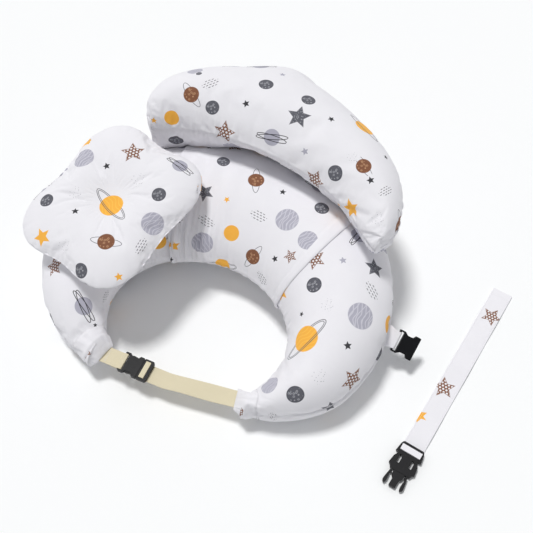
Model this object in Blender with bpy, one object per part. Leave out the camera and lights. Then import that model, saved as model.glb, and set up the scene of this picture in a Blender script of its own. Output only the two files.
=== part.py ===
"""Nursing pillow with a raised bolster, a head pillow, a buckled waist belt and a loose safety strap.

Metres, +Z up. The U-shaped pillow opens towards -Y, its belt runs along X between the arm tips, and the
origin is on the underside of the back, on the plane of symmetry. Every cushion is a stuffing inside a thin
cover; the buckles are side-release buckles whose prongs are pieces of their own.
"""

import math

import bmesh
import bpy
from mathutils import Matrix, Vector
from mathutils.bvhtree import BVHTree

# ---- driving dimensions of the U-shaped pillow ----
OUTER_HALF_WIDTH = 0.286
OUTER_CENTRE_Y = -0.151
OUTER_BACK_REACH = 0.270
OUTER_FRONT_REACH = 0.250
HOLE_HALF_WIDTH = 0.149
HOLE_HALF_DEPTH = 0.120
HOLE_CENTRE_Y = -0.239
OUTER_TIP_ANGLE = math.radians(154.0)
HOLE_TIP_ANGLE = math.radians(123.0)
PILLOW_HEIGHT = 0.150
TIP_HEIGHT_LOSS = 0.100
TIP_LIFT = 0.020
TIP_TAPER_START = {-1: 0.80, 1: 0.74}
TIP_WIDTH_SHARE = {-1: 0.80, 1: 0.54}
LEFT_ARM_SPREAD = 0.055
PILLOW_RINGS = 36
SECTION_POINTS = 16
BELLY_FLATTENING = 1.12

# ---- cloth thicknesses and the clearances between pieces ----
CLOTH = 0.0008
GAP = 0.0003
SLEEVE_CLOTH = 0.0010
SLEEVE_CLEARANCE = 0.0015
SLEEVE_FLOOR = SLEEVE_CLOTH + SLEEVE_CLEARANCE

# ---- wrap sleeve: how far round the back it reaches, as a share of each arm ----
SLEEVE_REACH_AT_HOLE = 0.310
SLEEVE_REACH_OUTSIDE = 0.200
SLEEVE_EXTRA_AT_RIGHT = 0.052
SLEEVE_RINGS = 13

# ---- crescent bolster: stations from the left end to the right end ----
# each station: front edge x, y, back edge x, y, half thickness
BOLSTER_STATIONS = [
    (-0.198, 0.012, -0.212, 0.026, 0.016),
    (-0.184, 0.014, -0.221, 0.054, 0.044),
    (-0.152, 0.023, -0.211, 0.109, 0.058),
    (-0.110, 0.029, -0.165, 0.159, 0.063),
    (-0.065, 0.029, -0.096, 0.197, 0.065),
    (-0.020, 0.027, -0.029, 0.228, 0.066),
    (0.030, 0.022, 0.036, 0.206, 0.065),
    (0.080, 0.013, 0.105, 0.168, 0.064),
    (0.128, -0.004, 0.169, 0.125, 0.062),
    (0.166, -0.024, 0.218, 0.071, 0.056),
    (0.196, -0.047, 0.242, 0.012, 0.045),
    (0.217, -0.062, 0.243, -0.033, 0.030),
    (0.226, -0.066, 0.235, -0.055, 0.013),
]
BOLSTER_RINGS = 30
BOLSTER_POINTS = 14
BOLSTER_Z = 0.186
BOLSTER_TILT = math.radians(11.0)
BOLSTER_SEAT_GAP = 0.0045

# ---- head pillow: a four-lobed cushion with a round dent in the middle ----
HEAD_CENTRE = Vector((-0.189, -0.139, 0.168))
HEAD_TURN = math.radians(-13.0)
HEAD_TILT = math.radians(9.0)
HEAD_RADIUS = 0.1232
HEAD_LOBES = 0.11
HEAD_LENGTH_SHARE = 1.16
HEAD_TOP = 0.028
HEAD_BOTTOM = 0.015
HEAD_DENT_DEPTH = 0.013
HEAD_DENT_RADIUS = 0.040
HEAD_SPOKES = 28
HEAD_STEPS = (0.18, 0.36, 0.55, 0.74, 0.90)

# ---- zip in the outer seam of the left arm: the rings that it spans, and the height of its teeth ----
ZIP_FIRST_RING = 8
ZIP_LAST_RING = 12
ZIP_TEETH_Z = 0.0705
ZIP_SLIDER_SHARE = 0.10

# ---- belt between the arm tips ----
WEBBING_THICKNESS = 0.0016
WAIST_WEBBING_WIDTH = 0.0285
BELT_Y = -0.332
BELT_Z = 0.045
BELT_LEFT_END_X = -0.1145
BELT_RIGHT_END_X = 0.1080
BELT_RIGHT_DRIFT = 0.015
BELT_RISE_START = 0.046
BELT_RISE_END = 0.076
WAIST_BUCKLE_SCALE = 0.87
WAIST_MOUTH_X = -0.0515
CUFF_HALF_WIDTH = 0.0172
CUFF_HALF_HEIGHT = 0.0042
CUFF_SLANT = 0.0037

# ---- loose strap and the side tab with its hanging buckle ----
STRAP_BUCKLE_SCALE = 0.96
STRAP_WIDTH = 0.0345
STRAP_THICKNESS = 0.0022
STRAP_LENGTH = 0.381
STRAP_END = Vector((0.436, 0.0655, 0.0))
STRAP_TURN = math.radians(8.8)
SIDE_BAR = Vector((0.3010, -0.1255, 0.0560))
SIDE_TAB_SLOPE = math.radians(18.0)
SIDE_TAB_ROLL = math.radians(33.0)
SIDE_TAB_TURN = math.radians(3.0)
SIDE_TAB_WIDTH = 0.0290
SIDE_TAB_LENGTH = 0.0150
SIDE_TAB_CLOTH = 0.0012
SIDE_TAB_LOOP = 0.00275

FABRIC_WHITE = (0.86, 0.85, 0.87)
STUFFING_WHITE = (0.93, 0.93, 0.91)
WEBBING_CREAM = (0.68, 0.60, 0.42)
PLASTIC_BLACK = (0.015, 0.015, 0.018)
ZIP_GREY = (0.70, 0.70, 0.72)


# ---- small tools ----
def clear_scene():
    for item in list(bpy.data.objects):
        bpy.data.objects.remove(item, do_unlink=True)


def smooth_step(value):
    value = min(1.0, max(0.0, value))
    return value * value * (3.0 - 2.0 * value)


def material(name, colour, roughness, metallic=0.0):
    found = bpy.data.materials.get(name)
    if found:
        return found
    made = bpy.data.materials.new(name)
    made.use_nodes = True
    shader = made.node_tree.nodes["Principled BSDF"]
    shader.inputs["Base Color"].default_value = (*colour, 1.0)
    shader.inputs["Roughness"].default_value = roughness
    shader.inputs["Metallic"].default_value = metallic
    return made


def add_object(name, points, faces, look, place=None, smooth=True):
    """A closed body from world or local points; a place matrix puts local points into the world."""
    mesh = bpy.data.meshes.new(name)
    mesh.from_pydata([tuple(p) for p in points], [], faces)
    shape = bmesh.new()
    shape.from_mesh(mesh)
    bmesh.ops.recalc_face_normals(shape, faces=shape.faces)
    shape.to_mesh(mesh)
    shape.free()
    if smooth:
        mesh.shade_smooth()
        mesh.set_sharp_from_angle(angle=math.radians(40.0))
    made = bpy.data.objects.new(name, mesh)
    bpy.context.scene.collection.objects.link(made)
    made.data.materials.append(look)
    if place is not None:
        made.matrix_world = place
    return made


def prism(outline, low, high):
    """Points and faces of an outline in XY, extruded from z=low to z=high."""
    count = len(outline)
    points = [(x, y, low) for x, y in outline] + [(x, y, high) for x, y in outline]
    faces = [tuple(reversed(range(count))), tuple(range(count, 2 * count))]
    for i in range(count):
        j = (i + 1) % count
        faces.append((i, j, count + j, count + i))
    return points, faces


def rectangle(x0, x1, y0, y1):
    return [(x0, y0), (x1, y0), (x1, y1), (x0, y1)]


def mirrored(half_outline):
    """A closed outline from its half on the +Y side, listed from the tip end to the base end."""
    return half_outline + [(x, -y) for x, y in reversed(half_outline)]


def cut_away(body, cutters):
    """Subtract cutter objects from a body, then remove them."""
    for cutter in cutters:
        step = body.modifiers.new("cut", "BOOLEAN")
        step.operation = "DIFFERENCE"
        step.solver = "EXACT"
        step.object = cutter
    bpy.context.view_layer.update()
    seen = body.evaluated_get(bpy.context.evaluated_depsgraph_get())
    carved = bpy.data.meshes.new_from_object(seen)
    body.modifiers.clear()
    body.data = carved
    for cutter in cutters:
        bpy.data.objects.remove(cutter, do_unlink=True)
    return body


def block(name, outline, low, high, look, place=None):
    points, faces = prism(outline, low, high)
    return add_object(name, points, faces, look, place, smooth=False)


def ring_faces(ring_count, ring_size, first=0, skip=()):
    """Quads between neighbouring rings, apart from the skipped (ring, side) pairs."""
    faces = []
    for i in range(ring_count - 1):
        for k in range(ring_size):
            if (i, k) in skip:
                continue
            a = first + i * ring_size + k
            b = first + i * ring_size + (k + 1) % ring_size
            faces.append((a, b, b + ring_size, a + ring_size))
    return faces


def tube(name, rings, look):
    """A closed body through rings, with a flat cap at each end."""
    size = len(rings[0])
    points = [p for ring in rings for p in ring]
    faces = ring_faces(len(rings), size)
    faces.append(tuple(range(size)))
    faces.append(tuple(range(len(points) - size, len(points))))
    return add_object(name, points, faces, look)


def skin(name, outer, inner, look, slit):
    """A cover between an outer and an inner tube, with a slit through the faces of one side."""
    size = len(outer[0])
    total = len(outer) * size
    points = [p for ring in outer for p in ring] + [p for ring in inner for p in ring]
    faces = ring_faces(len(outer), size, 0, slit) + ring_faces(len(inner), size, total, slit)
    for first in (0, total):
        faces.append(tuple(range(first, first + size)))
        faces.append(tuple(range(first + total - size, first + total)))
    rows = sorted({i for i, _ in slit})
    side = next(iter(slit))[1]
    corner = [i * size + side for i in range(rows[0], rows[-1] + 2)]
    far = [i * size + (side + 1) % size for i in range(rows[0], rows[-1] + 2)]
    border = corner + list(reversed(far))
    for a, b in zip(border, border[1:] + border[:1]):
        faces.append((a, b, b + total, a + total))
    return add_object(name, points, faces, look)


# ---- U-shaped pillow: any point of its surface from t (-1 left tip, 1 right tip) and the section angle ----
def section_ends(t):
    alpha = t * OUTER_TIP_ANGLE
    beta = t * HOLE_TIP_ANGLE
    reach = OUTER_BACK_REACH if math.cos(alpha) > 0.0 else OUTER_FRONT_REACH
    side = -1 if t < 0.0 else 1
    spread = 1.0 + LEFT_ARM_SPREAD * smooth_step(-t / 0.45)
    outer_x = OUTER_HALF_WIDTH * spread * math.sin(alpha)
    outer = Vector((outer_x, OUTER_CENTRE_Y + reach * math.cos(alpha), 0.0))
    hole = Vector((HOLE_HALF_WIDTH * math.sin(beta), HOLE_CENTRE_Y + HOLE_HALF_DEPTH * math.cos(beta), 0.0))
    start = TIP_TAPER_START[side]
    taper = 1.0 - (1.0 - TIP_WIDTH_SHARE[side]) * smooth_step((abs(t) - start) / (1.0 - start))
    return hole, hole + (outer - hole) * taper


def section_floor(t):
    """Height of the underside: up by the sleeve's cloth in the back, and lifted at the tips."""
    sleeve = SLEEVE_FLOOR * (1.0 - smooth_step((abs(t) - 0.34) / 0.10))
    return sleeve + TIP_LIFT * abs(t) ** 10


def section_top(t):
    return PILLOW_HEIGHT - TIP_HEIGHT_LOSS * abs(t) ** 4 + TIP_LIFT * abs(t) ** 10


def pillow_point(t, angle, inset=0.0):
    hole, outer = section_ends(t)
    across = (outer - hole).normalized()
    middle = (hole + outer) / 2.0
    half = (outer - hole).length / 2.0 - inset
    floor = section_floor(t) + inset
    top = section_top(t) - inset
    waist = section_floor(t) + 0.48 * (section_top(t) - section_floor(t))
    rise = math.sin(angle)
    if rise >= 0.0:
        height = waist + (top - waist) * rise
    else:
        height = max(floor, waist + BELLY_FLATTENING * (waist - floor) * rise)
    point = middle + across * (half * math.cos(angle))
    point.z = height
    return point


def section_angles():
    return [2.0 * math.pi * (k + 0.5) / SECTION_POINTS for k in range(SECTION_POINTS)]


def pillow_rings(inset):
    """Rings from the left tip to the right tip; the last ring at each end stays inside the outer one."""
    rings = []
    for i in range(PILLOW_RINGS + 1):
        t = 2.0 * i / PILLOW_RINGS - 1.0
        ring = [pillow_point(t, angle, inset) for angle in section_angles()]
        if abs(t) > 0.999:
            ring = [p + Vector((math.copysign(inset, t), 0.0, 0.0)) for p in ring]
        rings.append(ring)
    return rings


def zip_slit():
    return {(i, SECTION_POINTS - 1) for i in range(ZIP_FIRST_RING, ZIP_LAST_RING)}


def build_pillow(fabric, stuffing):
    skin("main_cover", pillow_rings(0.0), pillow_rings(CLOTH), fabric, zip_slit())
    tube("main_filling", pillow_rings(CLOTH + GAP), stuffing)


# ---- wrap sleeve: a straight-cut tube of cloth round the back, so its ends slant across the sections ----
def sleeve_rings(outward):
    rings = []
    for i in range(SLEEVE_RINGS + 1):
        share = 2.0 * i / SLEEVE_RINGS - 1.0
        ring = []
        for angle in section_angles():
            outside = (1.0 + math.cos(angle)) / 2.0
            reach = SLEEVE_REACH_AT_HOLE + (SLEEVE_REACH_OUTSIDE - SLEEVE_REACH_AT_HOLE) * outside
            t = share * reach + SLEEVE_EXTRA_AT_RIGHT * max(share, 0.0)
            point = pillow_point(t, angle, -outward)
            point.z = max(point.z, SLEEVE_FLOOR - outward)
            ring.append(point)
        rings.append(ring)
    return rings


def build_sleeve(fabric):
    outer = sleeve_rings(SLEEVE_FLOOR)
    inner = sleeve_rings(SLEEVE_CLEARANCE)
    size = SECTION_POINTS
    total = len(outer) * size
    points = [p for ring in outer + inner for p in ring]
    faces = ring_faces(len(outer), size) + ring_faces(len(inner), size, total)
    for first in (0, total - size):
        for k in range(size):
            a = first + k
            b = first + (k + 1) % size
            faces.append((a, b, b + total, a + total))
    add_object("wrap_sleeve", points, faces, fabric)


# ---- crescent bolster on the back ----
def along_stations(stations, share):
    """A Catmull-Rom curve through the stations, share running from 0 to 1."""
    place = share * (len(stations) - 1)
    i = min(int(place), len(stations) - 2)
    u = place - i
    before = stations[max(i - 1, 0)]
    after = stations[min(i + 2, len(stations) - 1)]
    value = []
    for p0, p1, p2, p3 in zip(before, stations[i], stations[i + 1], after):
        slope = (p2 - p0, p3 - p1)
        cubic = 2 * p1 - 2 * p2 + (slope[0] + slope[1]) / 2
        square = 3 * p2 - 3 * p1 - slope[0] - slope[1] / 2
        value.append(p1 + u * (slope[0] / 2 + u * (square + u * cubic)))
    return value


def pillow_tree():
    """The outside of the U-shaped pillow, to measure heights on."""
    rings = pillow_rings(0.0)
    points = [p for ring in rings for p in ring]
    return BVHTree.FromPolygons(points, ring_faces(len(rings), SECTION_POINTS))


def bolster_rings(tree, inset):
    rings = []
    for i in range(BOLSTER_RINGS + 1):
        share = i / BOLSTER_RINGS
        front_x, front_y, back_x, back_y, thick = along_stations(BOLSTER_STATIONS, share)
        front = Vector((front_x, front_y, 0.0))
        back = Vector((back_x, back_y, 0.0))
        along = Vector((inset if i == 0 else -inset if i == BOLSTER_RINGS else 0.0, 0.0, 0.0))
        across = (back - front).normalized()
        half = (back - front).length / 2.0 - inset
        ring = []
        for k in range(BOLSTER_POINTS):
            angle = 2.0 * math.pi * (k + 0.5) / BOLSTER_POINTS
            offset = half * math.cos(angle)
            point = (front + back) / 2.0 + across * offset + along
            droop = offset * math.tan(BOLSTER_TILT) * smooth_step(half / 0.09)
            point.z = BOLSTER_Z - droop + (thick - inset) * math.sin(angle)
            seat = tree.ray_cast(Vector((point.x, point.y, 1.0)), Vector((0.0, 0.0, -1.0)))[0]
            if seat is not None:
                point.z = max(point.z, seat.z + BOLSTER_SEAT_GAP + inset)
            ring.append(point)
        rings.append(ring)
    return rings


def build_bolster(fabric, stuffing):
    tree = pillow_tree()
    slit = {(i, BOLSTER_POINTS - 2) for i in range(11, 18)}
    skin("bolster_cover", bolster_rings(tree, 0.0), bolster_rings(tree, CLOTH), fabric, slit)
    tube("bolster_filling", bolster_rings(tree, CLOTH + GAP), stuffing)


# ---- head pillow ----
def head_point(share, spoke, side, inset):
    angle = 2.0 * math.pi * spoke / HEAD_SPOKES
    lobed = HEAD_RADIUS * (1.0 + HEAD_LOBES * math.cos(4.0 * (angle - math.pi / 4.0)))
    radius = (lobed - inset) * share
    crown = (1.0 - share**3) ** 0.6
    if side > 0:
        dent = HEAD_DENT_DEPTH * math.exp(-((radius / HEAD_DENT_RADIUS) ** 2))
        height = (HEAD_TOP - inset) * crown - dent
    else:
        height = -(HEAD_BOTTOM - inset) * crown
    return Vector((radius * math.cos(angle), radius * math.sin(angle) * HEAD_LENGTH_SHARE, height))


def head_surface(inset, first, slit_spokes):
    """Points and faces of the cushion: the top, the edge ring, then the underside."""
    shares = [(s, 1) for s in HEAD_STEPS] + [(1.0, 1)] + [(s, -1) for s in reversed(HEAD_STEPS)]
    points = [head_point(share, k, side, inset) for share, side in shares for k in range(HEAD_SPOKES)]
    edge = len(HEAD_STEPS)
    skipped = {(edge, k) for k in slit_spokes}
    faces = ring_faces(len(shares), HEAD_SPOKES, first, skipped)
    for side, ring in ((1, 0), (-1, len(shares) - 1)):
        points.append(head_point(0.0, 0, side, inset))
        hub = first + len(points) - 1
        start = first + ring * HEAD_SPOKES
        faces += [(hub, start + k, start + (k + 1) % HEAD_SPOKES) for k in range(HEAD_SPOKES)]
    return points, faces


def build_head_pillow(fabric, stuffing):
    place = Matrix.Translation(HEAD_CENTRE) @ Matrix.Rotation(HEAD_TURN, 4, "Z")
    place = place @ Matrix.Rotation(HEAD_TILT, 4, "X")
    slit = range(2, 5)
    points, faces = head_surface(0.0, 0, slit)
    total = len(points)
    inner_points, inner_faces = head_surface(CLOTH, total, slit)
    ring = len(HEAD_STEPS) * HEAD_SPOKES
    upper = [ring + k for k in range(slit[0], slit[-1] + 2)]
    border = upper + [k + HEAD_SPOKES for k in reversed(upper)]
    rim = [(a, b, b + total, a + total) for a, b in zip(border, border[1:] + border[:1])]
    add_object("head_pillow_cover", points + inner_points, faces + inner_faces + rim, fabric, place)
    points, faces = head_surface(CLOTH + GAP, 0, ())
    add_object("head_pillow_filling", points, faces, stuffing, place)


# ---- zip: tape in the slit, teeth on the tape, a slider that follows the arc, and its pull ----
ZIP_TAPE_EDGE = 0.0005
ZIP_TOOTH_STEPS = 16
ZIP_TEETH_SECTION = [(0.0005, -0.0025), (0.0019, -0.0025), (0.0019, 0.0025), (0.0005, 0.0025)]
ZIP_SLIDER_HALF_LENGTH = 0.0055
ZIP_SLIDER_SECTION = [
    (0.0012, -0.0045), (0.0048, -0.0045), (0.0048, -0.0012), (0.0068, -0.0012), (0.0068, 0.0016),
    (0.0048, 0.0016), (0.0048, 0.0045), (0.0012, 0.0045), (0.0012, 0.0031), (0.0027, 0.0031),
    (0.0027, -0.0031), (0.0012, -0.0031),
]
ZIP_PULL_OFFSET = (0.0080, 0.0, 0.0010)
ZIP_PULL_HALF = [(0.0007, 0.0022), (-0.019, 0.0032), (-0.022, 0.0022)]
ZIP_PULL_HALF_THICKNESS = 0.0006


def zip_circle():
    """Centre, radius, first and last angle of the circle through three points of the seam."""
    t_low = 2.0 * ZIP_FIRST_RING / PILLOW_RINGS - 1.0
    t_high = 2.0 * ZIP_LAST_RING / PILLOW_RINGS - 1.0
    a, b, c = (pillow_point(t, section_angles()[0]) for t in (t_low, (t_low + t_high) / 2.0, t_high))
    turn = 2.0 * (a.x * (b.y - c.y) + b.x * (c.y - a.y) + c.x * (a.y - b.y))
    aa, bb, cc = (p.x**2 + p.y**2 for p in (a, b, c))
    x = (aa * (b.y - c.y) + bb * (c.y - a.y) + cc * (a.y - b.y)) / turn
    y = (aa * (c.x - b.x) + bb * (a.x - c.x) + cc * (b.x - a.x)) / turn
    centre = Vector((x, y, 0.0))
    radius = (Vector((a.x, a.y, 0.0)) - centre).length
    angles = [math.atan2(p.y - y, p.x - x) % (2.0 * math.pi) for p in (a, c)]
    return centre, radius, angles[0], angles[1]


def build_zip_tape(look):
    """A strip that closes the slit in the cover, a little smaller than the slit."""
    cover = pillow_rings(0.0)
    slack = Vector((0.0, 0.0, ZIP_TAPE_EDGE))
    rings = []
    for i in range(ZIP_FIRST_RING, ZIP_LAST_RING + 1):
        low = cover[i][SECTION_POINTS - 1] + slack
        high = cover[i][0] - slack
        hole, outer = section_ends(2.0 * i / PILLOW_RINGS - 1.0)
        inward = (hole - outer).normalized() * (CLOTH - 0.0001)
        rings.append([low, high, high + inward, low + inward])
    for ring, beside in ((rings[0], rings[1]), (rings[-1], rings[-2])):
        shift = (beside[0] - ring[0]).normalized() * ZIP_TAPE_EDGE
        ring[:] = [point + shift for point in ring]
    tube("zip_tape", rings, look)


def build_zip(tape_look, metal_look):
    build_zip_tape(tape_look)
    centre, radius, start, end = zip_circle()
    step = (end - start) / ZIP_TOOTH_STEPS
    rings = []
    for i in range(ZIP_TOOTH_STEPS + 1):
        angle = start + step * (0.35 + i * (1.0 - 0.7 / ZIP_TOOTH_STEPS))
        ray = Vector((math.cos(angle), math.sin(angle), 0.0))
        level = Vector((0.0, 0.0, ZIP_TEETH_Z))
        rings.append([centre + level + ray * (radius + r) + Vector((0.0, 0.0, z)) for r, z in ZIP_TEETH_SECTION])
    tube("zip_teeth", rings, metal_look)

    # the slider's origin is the arc's centre: local x runs outwards, and the section is extruded along the arc
    angle = start + (end - start) * ZIP_SLIDER_SHARE
    turn = Matrix.Translation(centre + Vector((0.0, 0.0, ZIP_TEETH_Z))) @ Matrix.Rotation(angle, 4, "Z")
    outline = [(radius + r, z) for r, z in ZIP_SLIDER_SECTION]
    points, faces = prism(outline, -ZIP_SLIDER_HALF_LENGTH, ZIP_SLIDER_HALF_LENGTH)
    upright = Matrix.Rotation(math.pi / 2.0, 4, "X")
    add_object("zip_slider", [upright @ Vector(p) for p in points], faces, metal_look, turn, smooth=False)

    hang = turn @ Matrix.Translation((radius + ZIP_PULL_OFFSET[0], 0.0, ZIP_PULL_OFFSET[2]))
    points, faces = prism(mirrored(ZIP_PULL_HALF), -ZIP_PULL_HALF_THICKNESS, ZIP_PULL_HALF_THICKNESS)
    lay = Matrix.Rotation(-math.pi / 2.0, 4, "Y")
    add_object("zip_pull", [lay @ Vector(p) for p in points], faces, metal_look, hang, smooth=False)


# ---- side-release buckles: local x towards the prong tips, y across, z through; x = 0 at the mouth ----
# Outlines are in millimetres at scale 1. A half outline is the half on the +Y side, from the tips to the base.
NECK_HALF = [(26, 5.0), (25, 5.6), (12, 5.6), (9.5, 8.4), (7, 9.4), (-0.4, 9.4)]
WAIST_MALE_HALF = NECK_HALF + [(-0.4, 19.2), (-2.2, 21), (-18, 21), (-20, 18.6)]
STRAP_MALE_HALF = NECK_HALF + [
    (-0.4, 16.8), (-5.5, 19.4), (-8, 22.8), (-21, 21), (-30, 16.4), (-31, 22.4), (-45, 20.4), (-49, 19), (-51, 16.8),
]
FEMALE_HALF = [
    (0, 19.4), (1, 20.5), (8.5, 20.5), (11, 16), (13.5, 15.2), (22, 15.2), (25, 17), (28.6, 19.6), (36.5, 19.6),
    (38, 18.2),
]
PRONG_OUTLINE = [
    (1.6, 15.2), (9, 16.4), (11, 16.8), (21, 18.1), (24, 17.2), (26, 15.2), (26.3, 13.9), (24.5, 12.6), (20, 11.7),
    (13, 12.2), (8, 12.9), (6.2, 12.2), (5.6, 10.8), (1.6, 10.8),
]
PRONG_PIVOT = (3.0, 13.2)
PRONG_HALF_THICKNESS = 2.1
MALE_HALF_THICKNESS = 3.0
NECK_HALF_THICKNESS = 2.2
FEMALE_HALF_THICKNESS = 4.0
CAVITY_HALF_THICKNESS = 2.7
CAVITY_HALF_WIDTH = 17.2
CAVITY_END = 27.0
SLOT_HALF_WIDTH = 16.9
FEMALE_SLOT = (29.2, 34.6)
FEMALE_BAR_X = 36.3
FEMALE_BAR_HALF_THICKNESS = 1.1
WAIST_SLOTS = ((-15.0, -11.8), (-7.6, -4.4))
STRAP_SLOTS = ((-46.6, -43.4), (-37.9, -34.7))
STRAP_SLOT_HALF_WIDTH = 17.8
STRAP_WINDOW = (-28.0, -13.6, 8.4, 13.0)
BEYOND = 60.0


def scaled(outline, scale, shift=(0.0, 0.0)):
    unit = 0.001 * scale
    return [((x - shift[0]) * unit, (y - shift[1]) * unit) for x, y in outline]


def carve(body, cuts, scale, look, place, shift=(0.0, 0.0)):
    """Cut boxes out of a buckle; each cut is x0, x1, y0, y1, z0, z1 in millimetres at scale 1."""
    unit = 0.001 * scale
    cutters = []
    for x0, x1, y0, y1, z0, z1 in cuts:
        outline = scaled(rectangle(x0, x1, y0, y1), scale, shift)
        cutters.append(block("cutter", outline, z0 * unit, z1 * unit, look, place))
    return cut_away(body, cutters)


def male_buckle(name, half_outline, slots, slot_half_width, windows, place, scale, look):
    """The male half: a ladder for the band, a plate with windows, and a thinner neck with a tongue."""
    height = MALE_HALF_THICKNESS * 0.001 * scale
    body = block(name, scaled(mirrored(half_outline), scale), -height, height, look, place)
    cuts = [
        (-0.4, BEYOND, -BEYOND, BEYOND, NECK_HALF_THICKNESS, BEYOND),
        (-0.4, BEYOND, -BEYOND, BEYOND, -BEYOND, -NECK_HALF_THICKNESS),
    ]
    for x0, x1 in slots:
        cuts.append((x0, x1, -slot_half_width, slot_half_width, -BEYOND, BEYOND))
    for x0, x1, y0, y1 in windows:
        cuts.append((x0, x1, y0, y1, -BEYOND, BEYOND))
        cuts.append((x0, x1, -y1, -y0, -BEYOND, BEYOND))
    return carve(body, cuts, scale, look, place)


def female_buckle(name, place, scale, look, origin_x=0.0):
    """The female half; origin_x is the local x that the object's origin sits on."""
    shift = (origin_x, 0.0)
    height = FEMALE_HALF_THICKNESS * 0.001 * scale
    body = block(name, scaled(mirrored(FEMALE_HALF), scale, shift), -height, height, look, place)
    wide = SLOT_HALF_WIDTH
    cuts = [
        (-1, CAVITY_END, -CAVITY_HALF_WIDTH, CAVITY_HALF_WIDTH, -CAVITY_HALF_THICKNESS, CAVITY_HALF_THICKNESS),
        (*FEMALE_SLOT, -wide, wide, -BEYOND, BEYOND),
        (FEMALE_SLOT[1] - 0.5, BEYOND, -wide, wide, FEMALE_BAR_HALF_THICKNESS, BEYOND),
        (FEMALE_SLOT[1] - 0.5, BEYOND, -wide, wide, -BEYOND, -FEMALE_BAR_HALF_THICKNESS),
    ]
    return carve(body, cuts, scale, look, place, shift)


def prongs(prefix, place, scale, look):
    """Two prongs, each with its origin on its own bending axis."""
    unit = 0.001 * scale
    height = PRONG_HALF_THICKNESS * unit
    for side, word in ((1, "a"), (-1, "b")):
        outline = [(x, y * side) for x, y in PRONG_OUTLINE]
        pivot = (PRONG_PIVOT[0], PRONG_PIVOT[1] * side)
        at = place @ Matrix.Translation((pivot[0] * unit, pivot[1] * unit, 0.0))
        block(f"{prefix}_prong_{word}", scaled(outline, scale, pivot), -height, height, look, at)


def ribbon(name, path, thickness, width, look, place, bend=None):
    """A band: a path in local XZ with a thickness, extruded along local Y, then bent point by point."""
    sides = ([], [])
    for i, (x, z) in enumerate(path):
        before = Vector(path[max(i - 1, 0)])
        after = Vector(path[min(i + 1, len(path) - 1)])
        here = Vector((x, z))
        normals = []
        for a, b in ((before, here), (here, after)):
            if (b - a).length > 0.0:
                run = (b - a).normalized()
                normals.append(Vector((-run.y, run.x)))
        mitre = sum(normals, Vector((0.0, 0.0))).normalized()
        reach = thickness / 2.0 / mitre.dot(normals[0])
        sides[0].append(tuple(here + mitre * reach))
        sides[1].append(tuple(here - mitre * reach))
    outline = sides[0] + list(reversed(sides[1]))
    points, faces = prism(outline, -width / 2.0, width / 2.0)
    points = [Vector((x, -y, z)) for x, z, y in points]
    if bend is not None:
        points = [bend(p) for p in points]
    return add_object(name, points, faces, look, place, smooth=False)


BAND_REACH_UNDER = 0.0006


def bar_loop(name, slots, place, scale, width, look):
    """The turn of the band over the bar between the two slots of the male half's ladder."""
    unit = 0.001 * scale
    over = MALE_HALF_THICKNESS * unit + GAP + WEBBING_THICKNESS / 2.0
    under = -MALE_HALF_THICKNESS * unit - BAND_REACH_UNDER
    rear, front = (sum(slot) / 2.0 * unit for slot in slots)
    path = [(rear, under), (rear, over), (front, over), (front, under)]
    ribbon(name, path, WEBBING_THICKNESS, width, look, place)


# ---- waist belt ----
def waist_place():
    """Local x to the left along the belt, y to the front, z up."""
    return Matrix.Translation((WAIST_MOUTH_X, BELT_Y, BELT_Z)) @ Matrix.Rotation(math.pi, 4, "Z")


def belt_end(side):
    if side < 0:
        return Vector((BELT_LEFT_END_X, BELT_Y, BELT_Z))
    return Vector((BELT_RIGHT_END_X, BELT_Y + BELT_RIGHT_DRIFT, BELT_Z))


def tip_cuff(name, side, look):
    """The sewn end of an arm, from the arm's tip down to the flat webbing that it holds."""
    tip = pillow_rings(0.0)[-1 if side > 0 else 0]
    centre = sum(tip, Vector()) / len(tip)
    clear = Vector((side * 2.0 * GAP, 0.0, 0.0))
    start = [p.lerp(centre, 0.06) - clear for p in tip]
    mouth = []
    for angle in section_angles():
        wide, high = math.cos(angle), math.sin(angle)
        offset = Vector((side * CUFF_SLANT * wide, -CUFF_HALF_WIDTH * wide, CUFF_HALF_HEIGHT * high))
        mouth.append(belt_end(side) + clear + offset)
    middle = [p.lerp(q, 0.42) for p, q in zip(start, mouth)]
    tube(name, [start, middle, mouth], look)


def left_band_path(unit):
    """From the left cuff, over the female half's bar, through its slot and back under itself."""
    over = FEMALE_BAR_HALF_THICKNESS * unit + GAP + WEBBING_THICKNESS / 2.0
    leg = 32.3 * unit
    below = -WEBBING_THICKNESS - GAP
    far = WAIST_MOUTH_X - BELT_LEFT_END_X
    return [
        (far, 0.0), (42.0 * unit, 0.0), (39.7 * unit, over), (leg, over), (leg, -over), (38.8 * unit, -over),
        (42.0 * unit, below), (52.0 * unit, below),
    ]


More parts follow.
